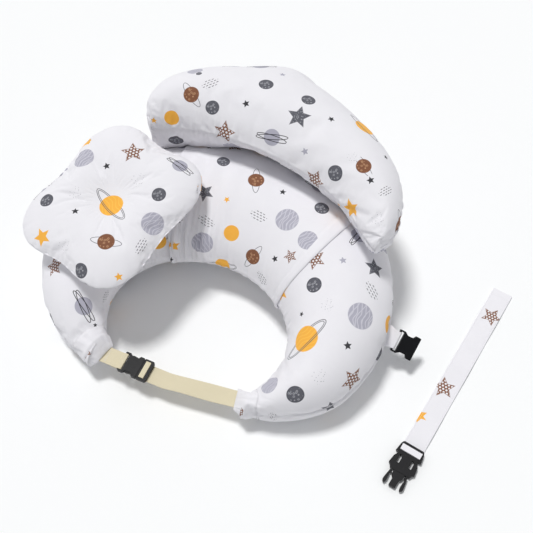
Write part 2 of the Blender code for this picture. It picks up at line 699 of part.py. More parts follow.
def build_waist_belt(fabric, webbing, plastic):
    place = waist_place()
    scale = WAIST_BUCKLE_SCALE
    unit = 0.001 * scale
    tip_cuff("left_tip_cuff", -1, fabric)
    tip_cuff("right_tip_cuff", 1, fabric)
    female_buckle("waist_female_buckle", place, scale, plastic)
    male_buckle("waist_male_buckle", WAIST_MALE_HALF, WAIST_SLOTS, SLOT_HALF_WIDTH, (), place, scale, plastic)
    prongs("waist", place, scale, plastic)
    bar_loop("waist_webbing_loop", WAIST_SLOTS, place, scale, WAIST_WEBBING_WIDTH, webbing)

    slant = CUFF_SLANT / CUFF_HALF_WIDTH
    far = WAIST_MOUTH_X - BELT_LEFT_END_X
    reach = BELT_RIGHT_END_X - WAIST_MOUTH_X
    def slant_left(p):
        return Vector((p.x + slant * p.y, p.y, p.z)) if p.x > far - GAP else p

    def slant_and_drift_right(p):
        share = max(0.0, (-p.x - BELT_RISE_START) / (reach - BELT_RISE_START))
        x = p.x - slant * p.y if p.x < GAP - reach else p.x
        return Vector((x, p.y - BELT_RIGHT_DRIFT * share, p.z))

    left = left_band_path(unit)
    ribbon("waist_webbing_left", left, WEBBING_THICKNESS, WAIST_WEBBING_WIDTH, webbing, place, slant_left)
    under = -MALE_HALF_THICKNESS * unit - BAND_REACH_UNDER - GAP - WEBBING_THICKNESS / 2.0
    right = [(-3.0 * unit, under), (-BELT_RISE_START, under), (-BELT_RISE_END, 0.0), (-reach, 0.0)]
    ribbon(
        "waist_webbing_right", right, WEBBING_THICKNESS, WAIST_WEBBING_WIDTH, webbing, place, slant_and_drift_right
    )


# ---- side tab with its hanging female buckle ----
def side_place():
    """Local x back towards the arm from the hinge bar of the hanging buckle, y to the front along the bar."""
    turn = Matrix.Rotation(math.pi + SIDE_TAB_TURN, 4, "Z")
    slope = Matrix.Rotation(-SIDE_TAB_SLOPE, 4, "Y")
    roll = Matrix.Rotation(-SIDE_TAB_ROLL, 4, "X")
    return Matrix.Translation(SIDE_BAR) @ turn @ slope @ roll


def build_side_tab(fabric, plastic):
    place = side_place()
    female_buckle("side_female_buckle", place, STRAP_BUCKLE_SCALE, plastic, FEMALE_BAR_X)
    loop = SIDE_TAB_LOOP
    path = [
        (SIDE_TAB_LENGTH, loop), (loop, loop), (-loop, loop), (-loop, -loop), (loop, -loop), (SIDE_TAB_LENGTH, -loop),
    ]
    ribbon("side_tab", path, SIDE_TAB_CLOTH, SIDE_TAB_WIDTH, fabric, place)


# ---- loose safety strap ----
def strap_place():
    """Local x along the strap towards the prong tips, with the buckle's mouth plane at the origin."""
    direction = Matrix.Rotation(-math.pi / 2.0 - STRAP_TURN, 4, "Z")
    unit = 0.001 * STRAP_BUCKLE_SCALE
    height = STRAP_THICKNESS + GAP + BAND_REACH_UNDER + MALE_HALF_THICKNESS * unit
    travel = direction @ Vector((STRAP_LENGTH, 0.0, 0.0))
    return Matrix.Translation(STRAP_END + travel + Vector((0.0, 0.0, height))) @ direction


def build_strap(fabric, plastic):
    place = strap_place()
    scale = STRAP_BUCKLE_SCALE
    male_buckle(
        "strap_male_buckle", STRAP_MALE_HALF, STRAP_SLOTS, STRAP_SLOT_HALF_WIDTH, (STRAP_WINDOW,), place, scale, plastic
    )
    prongs("strap", place, scale, plastic)
    bar_loop("strap_loop", STRAP_SLOTS, place, scale, STRAP_WIDTH - 0.001, fabric)
    middle = STRAP_THICKNESS / 2.0 - place.translation.z
    path = [(-33.0 * 0.001 * scale, middle), (-STRAP_LENGTH, middle)]
    ribbon("strap_fabric", path, STRAP_THICKNESS, STRAP_WIDTH, fabric, place)


def main():
    clear_scene()
    fabric = material("printed_cotton", FABRIC_WHITE, 0.9)
    stuffing = material("stuffing", STUFFING_WHITE, 0.95)
    webbing = material("belt_webbing", WEBBING_CREAM, 0.85)
    plastic = material("buckle_plastic", PLASTIC_BLACK, 0.35)
    metal = material("zip_metal", ZIP_GREY, 0.4, 0.8)
    build_pillow(fabric, stuffing)
    build_sleeve(fabric)
    build_bolster(fabric, stuffing)
    build_head_pillow(fabric, stuffing)
    build_zip(webbing, metal)
    build_waist_belt(fabric, webbing, plastic)
    build_side_tab(fabric, plastic)
    build_strap(fabric, plastic)


main()
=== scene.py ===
"""Looks of the nursing pillow: inflated cotton covers with a planets-and-stars print, webbing, straps,
moulded buckles, the camera and the light. Metres, +Z up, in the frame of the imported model."""

import random
from math import atan2, cos, hypot, pi, radians, sin, tan

import bpy
import numpy as np
from mathutils import Matrix, Vector
from mathutils.bvhtree import BVHTree


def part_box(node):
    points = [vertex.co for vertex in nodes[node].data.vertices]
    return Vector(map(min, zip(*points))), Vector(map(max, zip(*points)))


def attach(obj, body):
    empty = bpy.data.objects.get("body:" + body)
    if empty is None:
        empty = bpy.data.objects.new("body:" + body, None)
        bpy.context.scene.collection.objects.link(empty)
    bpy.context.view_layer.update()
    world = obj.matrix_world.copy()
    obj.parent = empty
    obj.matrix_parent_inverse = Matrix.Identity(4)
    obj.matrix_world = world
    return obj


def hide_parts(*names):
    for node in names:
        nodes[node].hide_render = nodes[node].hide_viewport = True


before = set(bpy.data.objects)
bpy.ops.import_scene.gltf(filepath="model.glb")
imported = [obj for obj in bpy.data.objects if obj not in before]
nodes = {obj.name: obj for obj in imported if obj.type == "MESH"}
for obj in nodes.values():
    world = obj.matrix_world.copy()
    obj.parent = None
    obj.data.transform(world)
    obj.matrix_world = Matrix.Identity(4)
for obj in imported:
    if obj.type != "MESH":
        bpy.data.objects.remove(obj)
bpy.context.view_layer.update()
scene = bpy.context.scene

# ---- camera, matched to the photograph's framing ----
CAMERA_AZIMUTH = radians(24)
CAMERA_ELEVATION = radians(58)
CAMERA_DISTANCE = 1.4
CAMERA_TARGET = Vector((0.0593, -0.0913, 0.07))
CAMERA_LENS_MM = 56.87

# ---- the U-shaped pillow, as in the CAD source ----
OUTER_HALF_WIDTH = 0.286
OUTER_CENTRE_Y = -0.151
OUTER_BACK_REACH = 0.27
OUTER_FRONT_REACH = 0.25
HOLE_HALF_WIDTH = 0.149
HOLE_HALF_DEPTH = 0.12
HOLE_CENTRE_Y = -0.239
OUTER_TIP_ANGLE = radians(154)
HOLE_TIP_ANGLE = radians(123)
PILLOW_HEIGHT = 0.15
TIP_HEIGHT_LOSS = 0.1
TIP_LIFT = 0.02
TIP_TAPER_START = (0.8, 0.74)
TIP_WIDTH_SHARE = (0.8, 0.54)
LEFT_ARM_SPREAD = 0.055
BELLY_FLATTENING = 1.12
SLEEVE_FLOOR = 0.0025

PILLOW_ROWS = 230
PILLOW_COLUMNS = 72
ZIP_T = (-0.556, -0.333)
ZIP_HALF_ANGLE = radians(10.5)
ZIP_CENTRE = -0.05994, -0.15127
ZIP_RADIUS = 0.2402
ZIP_ARC = radians(175), radians(136.4)
ZIP_TOOTH_SPACING = 0.0013

# ---- the wrap sleeve round its back ----
SLEEVE_REACH_AT_HOLE = 0.31
SLEEVE_REACH_OUTSIDE = 0.2
SLEEVE_EXTRA_AT_RIGHT = 0.052
SLEEVE_ROWS = 120
SLEEVE_COLUMNS = 144
SLEEVE_CLEARANCE = 0.0011
SLEEVE_CLOTH = 0.0012
HEM_WIDTH = 0.023

# ---- the bolster: front edge x, y, back edge x, y, half thickness, from the left end to the right ----
BOLSTER_STATIONS = [
    (-0.198, 0.012, -0.212, 0.026, 0.016),
    (-0.184, 0.014, -0.221, 0.054, 0.044),
    (-0.152, 0.023, -0.211, 0.109, 0.058),
    (-0.11, 0.029, -0.165, 0.159, 0.063),
    (-0.065, 0.029, -0.096, 0.197, 0.065),
    (-0.02, 0.027, -0.029, 0.228, 0.066),
    (0.03, 0.022, 0.036, 0.206, 0.065),
    (0.08, 0.013, 0.105, 0.168, 0.064),
    (0.128, -0.004, 0.169, 0.125, 0.062),
    (0.166, -0.024, 0.218, 0.071, 0.056),
    (0.196, -0.047, 0.242, 0.012, 0.045),
    (0.217, -0.062, 0.243, -0.033, 0.03),
    (0.226, -0.066, 0.235, -0.055, 0.013),
]
BOLSTER_Z = 0.186
BOLSTER_TILT = radians(11)
BOLSTER_ROWS = 130
BOLSTER_COLUMNS = 72
BOLSTER_CLEARANCE = 0.0016
BOLSTER_SAG = 0.034

# ---- the head pillow ----
HEAD_CENTRE = Vector((-0.189, -0.139, 0.168))
HEAD_TURN = radians(-13)
HEAD_TILT = radians(9)
HEAD_RADIUS = 0.1232
HEAD_LOBES = 0.11
HEAD_LENGTH_SHARE = 1.16
HEAD_TOP = 0.028
HEAD_BOTTOM = 0.015
HEAD_DENT_DEPTH = 0.013
HEAD_DENT_RADIUS = 0.04
HEAD_SPOKES = 144
HEAD_STEPS = 30

# ---- belt, cuffs, strap ----
BELT_Y = -0.332
BELT_Z = 0.045
BELT_LEFT_END_X = -0.1145
BELT_RIGHT_END_X = 0.108
BELT_RIGHT_DRIFT = 0.015
BELT_TUCKED_IN = 0.006
WAIST_MOUTH_X = -0.0515
WAIST_UNIT = 0.00087
WEBBING_WIDTH = 0.0285
WEBBING_THICKNESS = 0.0016
CUFF_HALF_WIDTH = 0.0172
CUFF_HALF_HEIGHT = 0.0042
CUFF_SLANT = 0.0037
SIDE_BAR = Vector((0.301, -0.1255, 0.056))
SIDE_TAB_LOOP = 0.00275
SIDE_TAB_CLOTH = 0.0012
SIDE_TAB_LENGTH = 0.015
SIDE_TURN, SIDE_DROP, SIDE_ROLL = radians(183), -radians(18), -radians(33)
STRAP_END = np.array((0.436, 0.0655, 0))
STRAP_TURN = radians(8.8)
STRAP_WIDTH = 0.0345
STRAP_THICKNESS = 0.0022
STRAP_UNIT = 0.00096
STRAP_REACH = 0.381
STRAP_STEPS = 420
STRAP_HEM = 0.0112
WEBBING_RIB = 0.0016
TAPE_RIB = 0.0009
THREAD_THICKNESS = 0.00045
THREAD_PROUD = 0.0001
UP = np.array((0, 0, 1))

# ---- light ----
SKY_STRENGTH = 0.42
SUN_STRENGTH = 2.02
SUN_FROM = (-0.26, 0.09, 1)
SUN_SPREAD = radians(11)
FLOOR_HALF_SIZE = 6

# ---- inflating the covers ----
CLOTH_FRAMES = 20
CLOTH_SETTINGS = dict(quality=4, mass=0.25, tension_stiffness=12, compression_stiffness=12, shear_stiffness=4,
                      bending_stiffness=0.6, air_damping=2, use_pressure=True, uniform_pressure_force=4,
                      pin_stiffness=4)
PILLOW_SWELL = 0.006
BOLSTER_SWELL = 0.008
HEAD_SWELL = 0.006


# ---- small tools ----
TURN = 2 * pi


def smooth(value):
    """0 below 0, 1 above 1, with a level start and end."""
    value = np.clip(value, 0, 1)
    return value * value * (3 - 2 * value)


def peak(value, width, centre=0):
    """A bell curve of height 1 at the centre."""
    return np.exp(-(((value - centre) / width) ** 2))


def full_turn(count):
    """Evenly spaced angles all the way round."""
    return np.linspace(0, TURN, count, endpoint=False)


def unit(vectors):
    return vectors / np.maximum(np.linalg.norm(vectors, axis=-1, keepdims=True), 1e-9)


def ripple(place, *waves):
    """A sum of sines, each given as wave count per unit, phase and share."""
    return sum(share * np.sin(count * place + phase) for count, phase, share in waves)


def srgb(red, green, blue):
    """Linear colour from 0-255 screen values."""
    return (*(((c / 255 + 0.055) / 1.055) ** 2.4 if c > 10 else c / 3294.6 for c in (red, green, blue)), 1)


# ---- meshes ----
def make_object(name, points, faces, look=None, flat=False):
    mesh = bpy.data.meshes.new(name)
    mesh.from_pydata(np.asarray(points, float).reshape(-1, 3).tolist(), [], faces)
    mesh.update()
    if not flat:
        mesh.shade_smooth()
    made = bpy.data.objects.new(name, mesh)
    scene.collection.objects.link(made)
    if look is not None:
        mesh.materials.append(look)
    return made


def grid_faces(rows, columns, along=False):
    """Quads of a grid of points, closed round each row, and from the last row to the first if along."""
    faces = []
    for i in range(rows if along else rows - 1):
        for k in range(columns):
            a, b = i * columns + k, i * columns + (k + 1) % columns
            c, d = (a + columns) % (rows * columns), (b + columns) % (rows * columns)
            faces.append((a, b, d, c))
    return faces


def closed_faces(rows, columns):
    """A tube of rings with each end closed by a fan round one extra point."""
    faces = grid_faces(rows, columns)
    low, high = rows * columns, rows * columns + 1
    last = (rows - 1) * columns
    for k in range(columns):
        faces.append((low, (k + 1) % columns, k))
        faces.append((high, last + k, last + (k + 1) % columns))
    return faces


def with_end_points(rings):
    """The points of the rings, then the centre of the first and of the last ring."""
    rings = np.asarray(rings, float)
    return np.concatenate([rings.reshape(-1, 3), [rings[0].mean(0)], [rings[-1].mean(0)]])


def values_of(items, name, width=1):
    """One property of all of a mesh's vertices, corners or faces: whole numbers, or vectors of a width."""
    values = np.empty(len(items) * width, float if width > 1 else int)
    items.foreach_get(name, values)
    return values.reshape(-1, width) if width > 1 else values


def points_of(obj):
    return values_of(obj.data.vertices, "co", 3)


def tree_of(obj):
    return BVHTree.FromPolygons(points_of(obj).tolist(), [tuple(p.vertices) for p in obj.data.polygons])


# ---- cloth ----
def inflated(points, shape, pinned, swell, slack):
    """Where the points of a closed tube go under pressure, pinned at its seams: a grid of that shape."""
    pinned = np.append(np.asarray(pinned, float).ravel(), [1, 1])
    cover = make_object("cover_in_simulation", points, closed_faces(*shape))
    group = cover.vertex_groups.new(name="seams")
    group.add(np.flatnonzero(pinned).tolist(), 1, "REPLACE")
    cloth = cover.modifiers.new("cloth", "CLOTH")
    for name, value in CLOTH_SETTINGS.items():
        setattr(cloth.settings, name, value)
    cloth.settings.shrink_min = -slack
    cloth.settings.effector_weights.gravity = 0
    cloth.settings.vertex_group_mass = "seams"
    cloth.collision_settings.use_collision = False
    cloth.point_cache.frame_start, cloth.point_cache.frame_end = 1, CLOTH_FRAMES
    for step in range(1, CLOTH_FRAMES + 1):
        scene.frame_set(step)
    moved = points_of(cover.evaluated_get(bpy.context.evaluated_depsgraph_get())) - points
    scene.frame_set(1)
    bpy.data.objects.remove(cover, do_unlink=True)
    length = np.linalg.norm(moved, axis=1, keepdims=True)
    points = points + moved * (swell * np.tanh(length / swell) / np.maximum(length, 1e-9))
    return points[:-2].reshape(*shape, 3)


# ---- surface of the U-shaped pillow ----
def section_ends(t):
    alpha, beta = t * OUTER_TIP_ANGLE, t * HOLE_TIP_ANGLE
    reach = np.where(np.cos(alpha) > 0, OUTER_BACK_REACH, OUTER_FRONT_REACH)
    spread = 1 + LEFT_ARM_SPREAD * smooth(-t / 0.45)
    outer = np.stack([OUTER_HALF_WIDTH * spread * np.sin(alpha), OUTER_CENTRE_Y + reach * np.cos(alpha)], -1)
    hole = np.stack([HOLE_HALF_WIDTH * np.sin(beta), HOLE_CENTRE_Y + HOLE_HALF_DEPTH * np.cos(beta)], -1)
    start = np.where(t < 0, *TIP_TAPER_START)
    share = np.where(t < 0, *TIP_WIDTH_SHARE)
    taper = 1 - (1 - share) * smooth((np.abs(t) - start) / (1 - start))
    return hole, hole + (outer - hole) * taper[..., None]


def pillow_surface(t, angle, outward=0):
    """Points of the pillow: t from -1 at the left tip to 1, angle round the section from its outer side."""
    t, angle, outward = np.broadcast_arrays(np.asarray(t, float), angle, outward)
    hole, outer = section_ends(t)
    across = unit(outer - hole)
    half = np.linalg.norm(outer - hole, axis=-1) / 2 + outward
    floor = SLEEVE_FLOOR * (1 - smooth((np.abs(t) - 0.34) / 0.1)) + TIP_LIFT * np.abs(t) ** 10
    top = PILLOW_HEIGHT - TIP_HEIGHT_LOSS * np.abs(t) ** 4 + TIP_LIFT * np.abs(t) ** 10
    waist = floor + 0.48 * (top - floor)
    rise = np.sin(angle)
    low = np.maximum(floor - outward, waist + BELLY_FLATTENING * (waist - floor + outward) * rise)
    height = np.where(rise >= 0, waist + (top + outward - waist) * rise, low)
    plan = (hole + outer) / 2 + across * (half * np.cos(angle))[..., None]
    return np.concatenate([plan, height[..., None]], -1)


def round_distance(angle, centre):
    """The unsigned angle between two directions round a section."""
    return np.abs((angle - centre + pi) % TURN - pi)


def inflated_pillow():
    """The swollen surface of the U as a grid of points."""
    shape = PILLOW_ROWS, PILLOW_COLUMNS
    t, angle = np.meshgrid(np.linspace(-1, 1, PILLOW_ROWS), full_turn(PILLOW_COLUMNS), indexing="ij")
    from_outer = round_distance(angle, 0)
    seam = np.maximum(peak(from_outer, 0.06), peak(round_distance(angle, pi), 0.06)) > 0.5
    in_zip = (t > ZIP_T[0]) & (t < ZIP_T[1]) & (from_outer < 0.3)
    points = with_end_points(pillow_surface(t, angle, -0.002))
    grown = inflated(points, shape, seam | (np.abs(t) > 0.985) | in_zip, PILLOW_SWELL, 0.03)
    under = smooth((0.36 - np.abs(t)) / 0.05) * (np.sin(angle) < 0)
    grown[..., 2] = np.maximum(grown[..., 2], 0.0004 + SLEEVE_FLOOR * under)
    return grown


def catmull_rom(a, b, c, d, share):
    """The place between b and c on a smooth curve through four points."""
    return b + 0.5 * share * (c - a + share * (2 * a - 5 * b + 4 * c - d + share * (3 * (b - c) + d - a)))


def resampled(grid, row, column):
    """Points of a grid that is closed round its rows, at fractional rows and columns, smoothly."""
    rows, columns = grid.shape[:2]
    row, column = np.broadcast_arrays(np.clip(row, 0, rows - 1.001), np.asarray(column) % columns)
    i, k = np.floor(row).astype(int), np.floor(column).astype(int)
    u, v = (row - i)[..., None], (column - k)[..., None]
    lines = []
    for line in (np.clip(i + step, 0, rows - 1) for step in range(-1, 3)):
        lines.append(catmull_rom(*(grid[line, (k + side) % columns] for side in range(-1, 3)), v))
    return catmull_rom(*lines, u)


def on_pillow(surface, t, angle):
    """Points of the swollen U at any t and angle."""
    row = (np.asarray(t) + 1) / 2 * (PILLOW_ROWS - 1)
    return resampled(surface, row, np.asarray(angle) / TURN * PILLOW_COLUMNS)


def grid_normals(points):
    along = np.gradient(points, axis=0)
    around = (np.roll(points, -1, axis=1) - np.roll(points, 1, axis=1)) / 2
    return unit(np.cross(around, along))


def run_along(points):
    """How far each point of a line, or of each column of a grid, is from the first."""
    steps = np.linalg.norm(np.diff(points, axis=0), axis=-1)
    return np.concatenate([np.zeros_like(steps[:1]), np.cumsum(steps, axis=0)])


def distance_around(points, column):
    """How far each grid point is from a column, measured round its row, whichever way is shorter."""
    steps = np.linalg.norm(np.roll(points, -1, axis=1) - points, axis=2)
    whole = steps.sum(1, keepdims=True)
    run = np.concatenate([np.zeros((len(points), 1)), np.cumsum(steps, axis=1)[:, :-1]], axis=1)
    run = np.abs(run - run[:, column : column + 1])
    return np.minimum(run, whole - run)


def seam_relief(points, column, depth=0.0016, pucker=0.0009, reach=0.014, seed=0):
    """Height to add along a sewn seam: a groove, and small gathers on both sides of it."""
    away = distance_around(points, column)
    run = run_along(points).mean(1, keepdims=True)
    waves = ripple(run, (420, seed, 0.5), (270, 1.7 + seed, 0.35), (660, 0.4, 0.25))
    fade = peak(away, reach) * (0.4 + 0.6 * smooth(away / 0.003))
    strength = 0.55 + 0.45 * np.sin(23 * run + seed)
    return pucker * waves * fade * strength - depth * peak(away, 0.0022)


# ---- shader arithmetic, so that patterns can be written as formulas ----
def set_inputs(tree, node, inputs):
    """Links the inputs that are given as a field or a socket, and sets the others to their value."""
    for key, value in inputs.items():
        value = getattr(value, "socket", value)
        if isinstance(value, bpy.types.NodeSocket):
            tree.links.new(value, node.inputs[key])
        else:
            node.inputs[key].default_value = value


def new_node(tree, kind, inputs):
    node = tree.nodes.new("ShaderNode" + kind)
    set_inputs(tree, node, inputs)
    return node


class Field:
    """A number at each point of a surface, in a material's node tree."""

    def __init__(self, tree, socket):
        self.tree, self.socket = tree, socket

    def math(self, operation, *others, clamp=False):
        node = new_node(self.tree, "Math", dict(enumerate((self, *others))))
        node.operation, node.use_clamp = operation, clamp
        return Field(self.tree, node.outputs[0])

    def __abs__(self):
        return self.math("ABSOLUTE")

    def fraction(self):
        return self.math("FRACT")

    def wave(self, count=1, phase=0):
        return (self * count + phase).math("SINE")

    def turned(self, other, degrees):
        """This and another coordinate, turned round their origin."""
        c, s = cos(radians(degrees)), sin(radians(degrees))
        return self * c + other * s, other * c - self * s

    def radius(self, other):
        return (self * self + other * other).math("SQRT")

    def inside(self, limit, soft=0.05):
        """1 where this is below the limit, with a soft edge."""
        return ((self * -1 + limit) / soft + 0.5).math("ADD", 0, clamp=True)


FIELD_OPERATORS = {"add": "ADD", "sub": "SUBTRACT", "mul": "MULTIPLY", "truediv": "DIVIDE", "or": "MAXIMUM"}
for word, operation in FIELD_OPERATORS.items():
    setattr(Field, f"__{word}__", lambda self, other, operation=operation: self.math(operation, other))


def new_material(name):
    made = bpy.data.materials.new(name)
    made.use_nodes = True
    return made, made.node_tree


def wired(made, inputs, height=None):
    """Sets the shader's inputs, and its bump from (height, distance, strength)."""
    tree = made.node_tree
    if height is not None:
        bump = new_node(tree, "Bump", dict(zip(("Height", "Distance", "Strength"), height)))
        inputs = {**inputs, "Normal": bump.outputs["Normal"]}
    set_inputs(tree, tree.nodes["Principled BSDF"], inputs)
    return made


def fields(tree, vector):
    """The three numbers of a vector at each point."""
    return [Field(tree, socket) for socket in new_node(tree, "SeparateXYZ", {0: vector}).outputs]


def own_place(tree):
    """The point's place in the object's own space."""
    return new_node(tree, "TexCoord", {}).outputs["Object"]


def noise(tree, scale, detail=2):
    """Blender's noise at a scale per metre of the object's own space."""
    node = new_node(tree, "TexNoise", {"Scale": scale, "Detail": detail, "Vector": own_place(tree)})
    return Field(tree, node.outputs["Fac"])


# where the mix node keeps its factor, its two colours and their mixture
MIX_SOCKETS = (0, 6, 7)
MIX_RESULT = 2


def mixed(factor, under, over):
    """Two colours, each a socket or a constant, mixed by a field."""
    node = factor.tree.nodes.new("ShaderNodeMix")
    node.data_type = "RGBA"
    set_inputs(factor.tree, node, dict(zip(MIX_SOCKETS, (factor, under, over))))
    return node.outputs[MIX_RESULT]


# ---- the print: planets, stars and small marks; each kind has a number and how far it reaches ----
(WAVES, DARK, BROWN, ORANGE, SATURN, SCRIBBLE, POLKA, SPECKLED, BLACK_STAR, ORANGE_STAR, LILAC_STAR, DOTS,
 DASHES) = range(1, 14)
MOTIF_REACH = {BROWN: 2.1, SATURN: 2.1, SCRIBBLE: 2.2, DASHES: 1.4}

CLOTH_LIGHT = srgb(242, 241, 245)
CLOTH_SHADE = srgb(235, 234, 239)
INK_ORANGE = srgb(250, 180, 52)
INK_ORANGE_LIGHT = srgb(253, 196, 84)
INK_LILAC = srgb(176, 175, 189)
INK_LILAC_LIGHT = srgb(208, 207, 217)
INK_DARK = srgb(84, 85, 94)
INK_GREY = srgb(172, 173, 179)
INK_LINE = srgb(96, 96, 102)
INK_BLACK = srgb(34, 34, 40)
INK_BROWN = srgb(126, 74, 38)
INK_TAN = srgb(196, 152, 116)
INK_FAINT = srgb(150, 150, 158)


def cells(u, v, scale, layer):
    """Distance to the nearest of some scattered points."""
    joined = new_node(u.tree, "CombineXYZ", {0: u, 1: v, 2: layer}).outputs[0]
    node = new_node(u.tree, "TexVoronoi", {"Scale": scale, "Randomness": 0.8, "Vector": joined})
    return Field(u.tree, node.outputs["Distance"])


def ellipse_line(u, v, long, short, width):
    """A line of even width along an ellipse."""
    level, slope = (u / long).radius(v / short), (u / long**2).radius(v / short**2)
    return (abs(level - 1) * level / slope).inside(width / 2, 0.03)


def star_mask(u, v, size=1, waist=0.47):
    """A five-pointed star with one point towards +v; waist is the radius of its inner corners."""
    fifth = TURN / 5
    turn = (v.math("ARCTAN2", u) + (4 * fifth - pi / 2)).math("MODULO", fifth) - fifth / 2
    around, reach = abs(turn) * -1 + fifth / 2, u.radius(v)
    inner_x, inner_y = size * waist * cos(fifth / 2), size * waist * sin(fifth / 2)
    length = hypot(inner_y, size - inner_x)
    x, y = reach * around.math("COSINE"), reach * around.math("SINE")
    return ((x - size) * (inner_y / length) + y * ((size - inner_x) / length)).inside(0, 0.05)


def motif_layers(u, v):
    """For each kind, its inks from the lowest layer up, as (colour, mask)."""
    far = u.radius(v)
    disc, star = far.inside(1), star_mask(u, v)
    craters = cells(u, v, 2.9, 3)
    blotches = abs(craters - 0.3).inside(0.085, 0.07) | craters.inside(0.09, 0.06)
    rim = abs(far - 0.92).inside(0.06)
    stripes = ((v + u.wave(3.2) * 0.13 + u.wave(7, 1) * 0.04) * 19).wave()
    crossing = ((v + u * 0.3 - u.wave(2.6, 2) * 0.16) * 12).wave()
    waves = ((stripes * -1 + 0.74).inside(0, 0.25) | (crossing * -1 + 0.9).inside(0, 0.14)) * disc
    sweep = ((v * 1.3 + u.wave(5) * 0.12 + u * 0.4) * 15).wave()
    sweep = (sweep * -1 + 0.72).inside(0, 0.2) * disc

    # round dots in staggered rows, fine grains, scattered specks, and rows of short dashes
    dots_u, dots_v = u.turned(v, 20)
    odd = ((dots_v * 3.9 + 20).math("FLOOR") * 0.5).fraction()
    across, along = (dots_u * 3.4 + odd + 20).fraction() - 0.5, ((dots_v * 3.9 + 20).fraction() - 0.5) * 0.87
    polka = across.radius(along).inside(0.32, 0.1)
    grain = cells(u, v, 9, 7).inside(0.34, 0.12)
    speck = cells(u, v, 4.2, 1).inside(0.19, 0.1) * far.inside(0.95, 0.1)
    strokes = (u * 2.3 + (v * 3.3).math("FLOOR") * 0.37).fraction() - 0.5
    dash = abs((v * 3.3).fraction() - 0.5).inside(0.15, 0.1) * abs(strokes).inside(0.3, 0.08)
    dash = dash * (u * 0.8).radius(v * 1.5).inside(0.85, 0.1)

    # rings round the planets: hidden behind one, across another, and only outside the third
    rings = ellipse_line(u, v, 1.98, 0.5, 0.055) | ellipse_line(u, v, 1.82, 0.38, 0.05)
    rings = rings * (disc * (v * -1).inside(0, 0.02) * -1 + 1)
    first, second = u.turned(v, 6), u.turned(v, -7)
    scribble = ellipse_line(first[0], first[1] - 0.05, 2, 0.3, 0.085)
    scribble = scribble | ellipse_line(second[0], second[1] + 0.06, 1.9, 0.34, 0.085)
    loop = ellipse_line(u, v, 1.85, 0.48, 0.07) * (disc * -1 + 1)
    return {
        WAVES: [(INK_LILAC, disc), (INK_LILAC_LIGHT, waves)],
        DARK: [(INK_DARK, disc), (INK_GREY, blotches * disc), (INK_DARK, rim * disc)],
        BROWN: [(INK_LINE, loop), (INK_BROWN, disc), (INK_TAN, blotches * far.inside(0.86))],
        ORANGE: [(INK_ORANGE, disc)],
        SATURN: [(INK_ORANGE, disc), (INK_ORANGE_LIGHT, sweep), (INK_LINE, rings)],
        SCRIBBLE: [(INK_LILAC, disc), (INK_BLACK, scribble)],
        POLKA: [(INK_BROWN, star), (CLOTH_LIGHT, polka * star_mask(u, v, 0.9))],
        SPECKLED: [(INK_DARK, star), (INK_GREY, grain * star_mask(u, v, 0.9))],
        BLACK_STAR: [(INK_BLACK, star)],
        ORANGE_STAR: [(INK_ORANGE, star)],
        LILAC_STAR: [(INK_LILAC, star)],
        DOTS: [(INK_FAINT, speck)],
        DASHES: [(INK_LINE, dash)],
    }


def cotton_material(name, printed):
    """Fine cotton: threads and soft slubs in the bump, a faint sheen, and the print if there is one."""
    made, tree = new_material(name)
    x, y, z = fields(tree, own_place(tree))
    colour = mixed(noise(tree, 26, 3), CLOTH_SHADE, CLOTH_LIGHT)
    if printed:
        mark = tree.nodes.new("ShaderNodeAttribute")
        mark.attribute_name = "print"
        u, v, kind = fields(tree, mark.outputs["Vector"])
        for number, layers in motif_layers(u, v).items():
            chosen = kind.math("COMPARE", float(number), 0.3)
            for ink, mask in layers:
                colour = mixed(mask * chosen * 0.96, colour, ink)
    threads = (x + y * 0.4).wave(5200) * (y - x * 0.4 + z).wave(5200)
    height = threads * 0.35 + (noise(tree, 900) * 0.8 + noise(tree, 140, 3) * 1.6)
    inputs = {"Base Color": colour, "Roughness": noise(tree, 60) * 0.14 + 0.8, "Sheen Weight": 0.12,
              "Sheen Roughness": 0.5, "Specular IOR Level": 0.25}
    return wired(made, inputs, (height, 0.00022, 0.7))


def webbing_material():
    """Cream belt webbing: a herringbone of ribs, with painted shade darkening the hollows between them."""
    made, tree = new_material("woven_webbing")
    x, y, z = fields(tree, own_place(tree))
    zigzag = abs((y * 240).fraction() - 0.5) * 0.0022
    ribs = (x + zigzag).wave(TURN / WEBBING_RIB)
    rib_height_and_shade = (ribs * 0.5 + 0.5) * 0.7 + noise(tree, 700) * 0.3
    # painted shade: the webbing's colour darkens in the hollows between the ribs, following the bump's rib
    # height
    colour = mixed(rib_height_and_shade, srgb(212, 201, 168), srgb(240, 231, 204))
    colour = mixed(noise(tree, 40) * 0.35, colour, srgb(226, 215, 183))
    return wired(made, {"Base Color": colour, "Roughness": 0.8, "Sheen Weight": 0.15}, (rib_height_and_shade, 0.0005, 0.8))


def tape_material():
    """The zip's tape: fine cross ribs in a white polyester, with painted shade darker between the ribs."""
    made, tree = new_material("zip_tape_weave")
    ribs = fields(tree, own_place(tree))[2].wave(TURN / TAPE_RIB) * 0.5 + 0.5
    # painted shade: the tape's colour darkens between the ribs, following the same wave as the bump
    colour = mixed(ribs, srgb(214, 213, 217), srgb(236, 235, 238))
    return wired(made, {"Base Color": colour, "Roughness": 0.8}, (ribs, 0.0002, 0.8))


def plain_material(name, tones, dark, light, rough, grain=None, **settings):
    """Two tones mixed by noise; rough is a number, or noise's scale, detail, share and least value."""
    made, tree = new_material(name)
    if isinstance(rough, tuple):
        rough = noise(tree, *rough[:2]) * rough[2] + rough[3]
    inputs = {"Base Color": mixed(noise(tree, *tones), srgb(*dark), srgb(*light)), "Roughness": rough}
    inputs.update({key.replace("_", " "): value for key, value in settings.items()})
    return wired(made, inputs, (noise(tree, grain[0]), *grain[1:]) if grain else None)


COTTON = cotton_material("printed_cotton_cloth", True)
PLAIN_COTTON = cotton_material("plain_cotton_cloth", False)
WEBBING = webbing_material()
TAPE = tape_material()
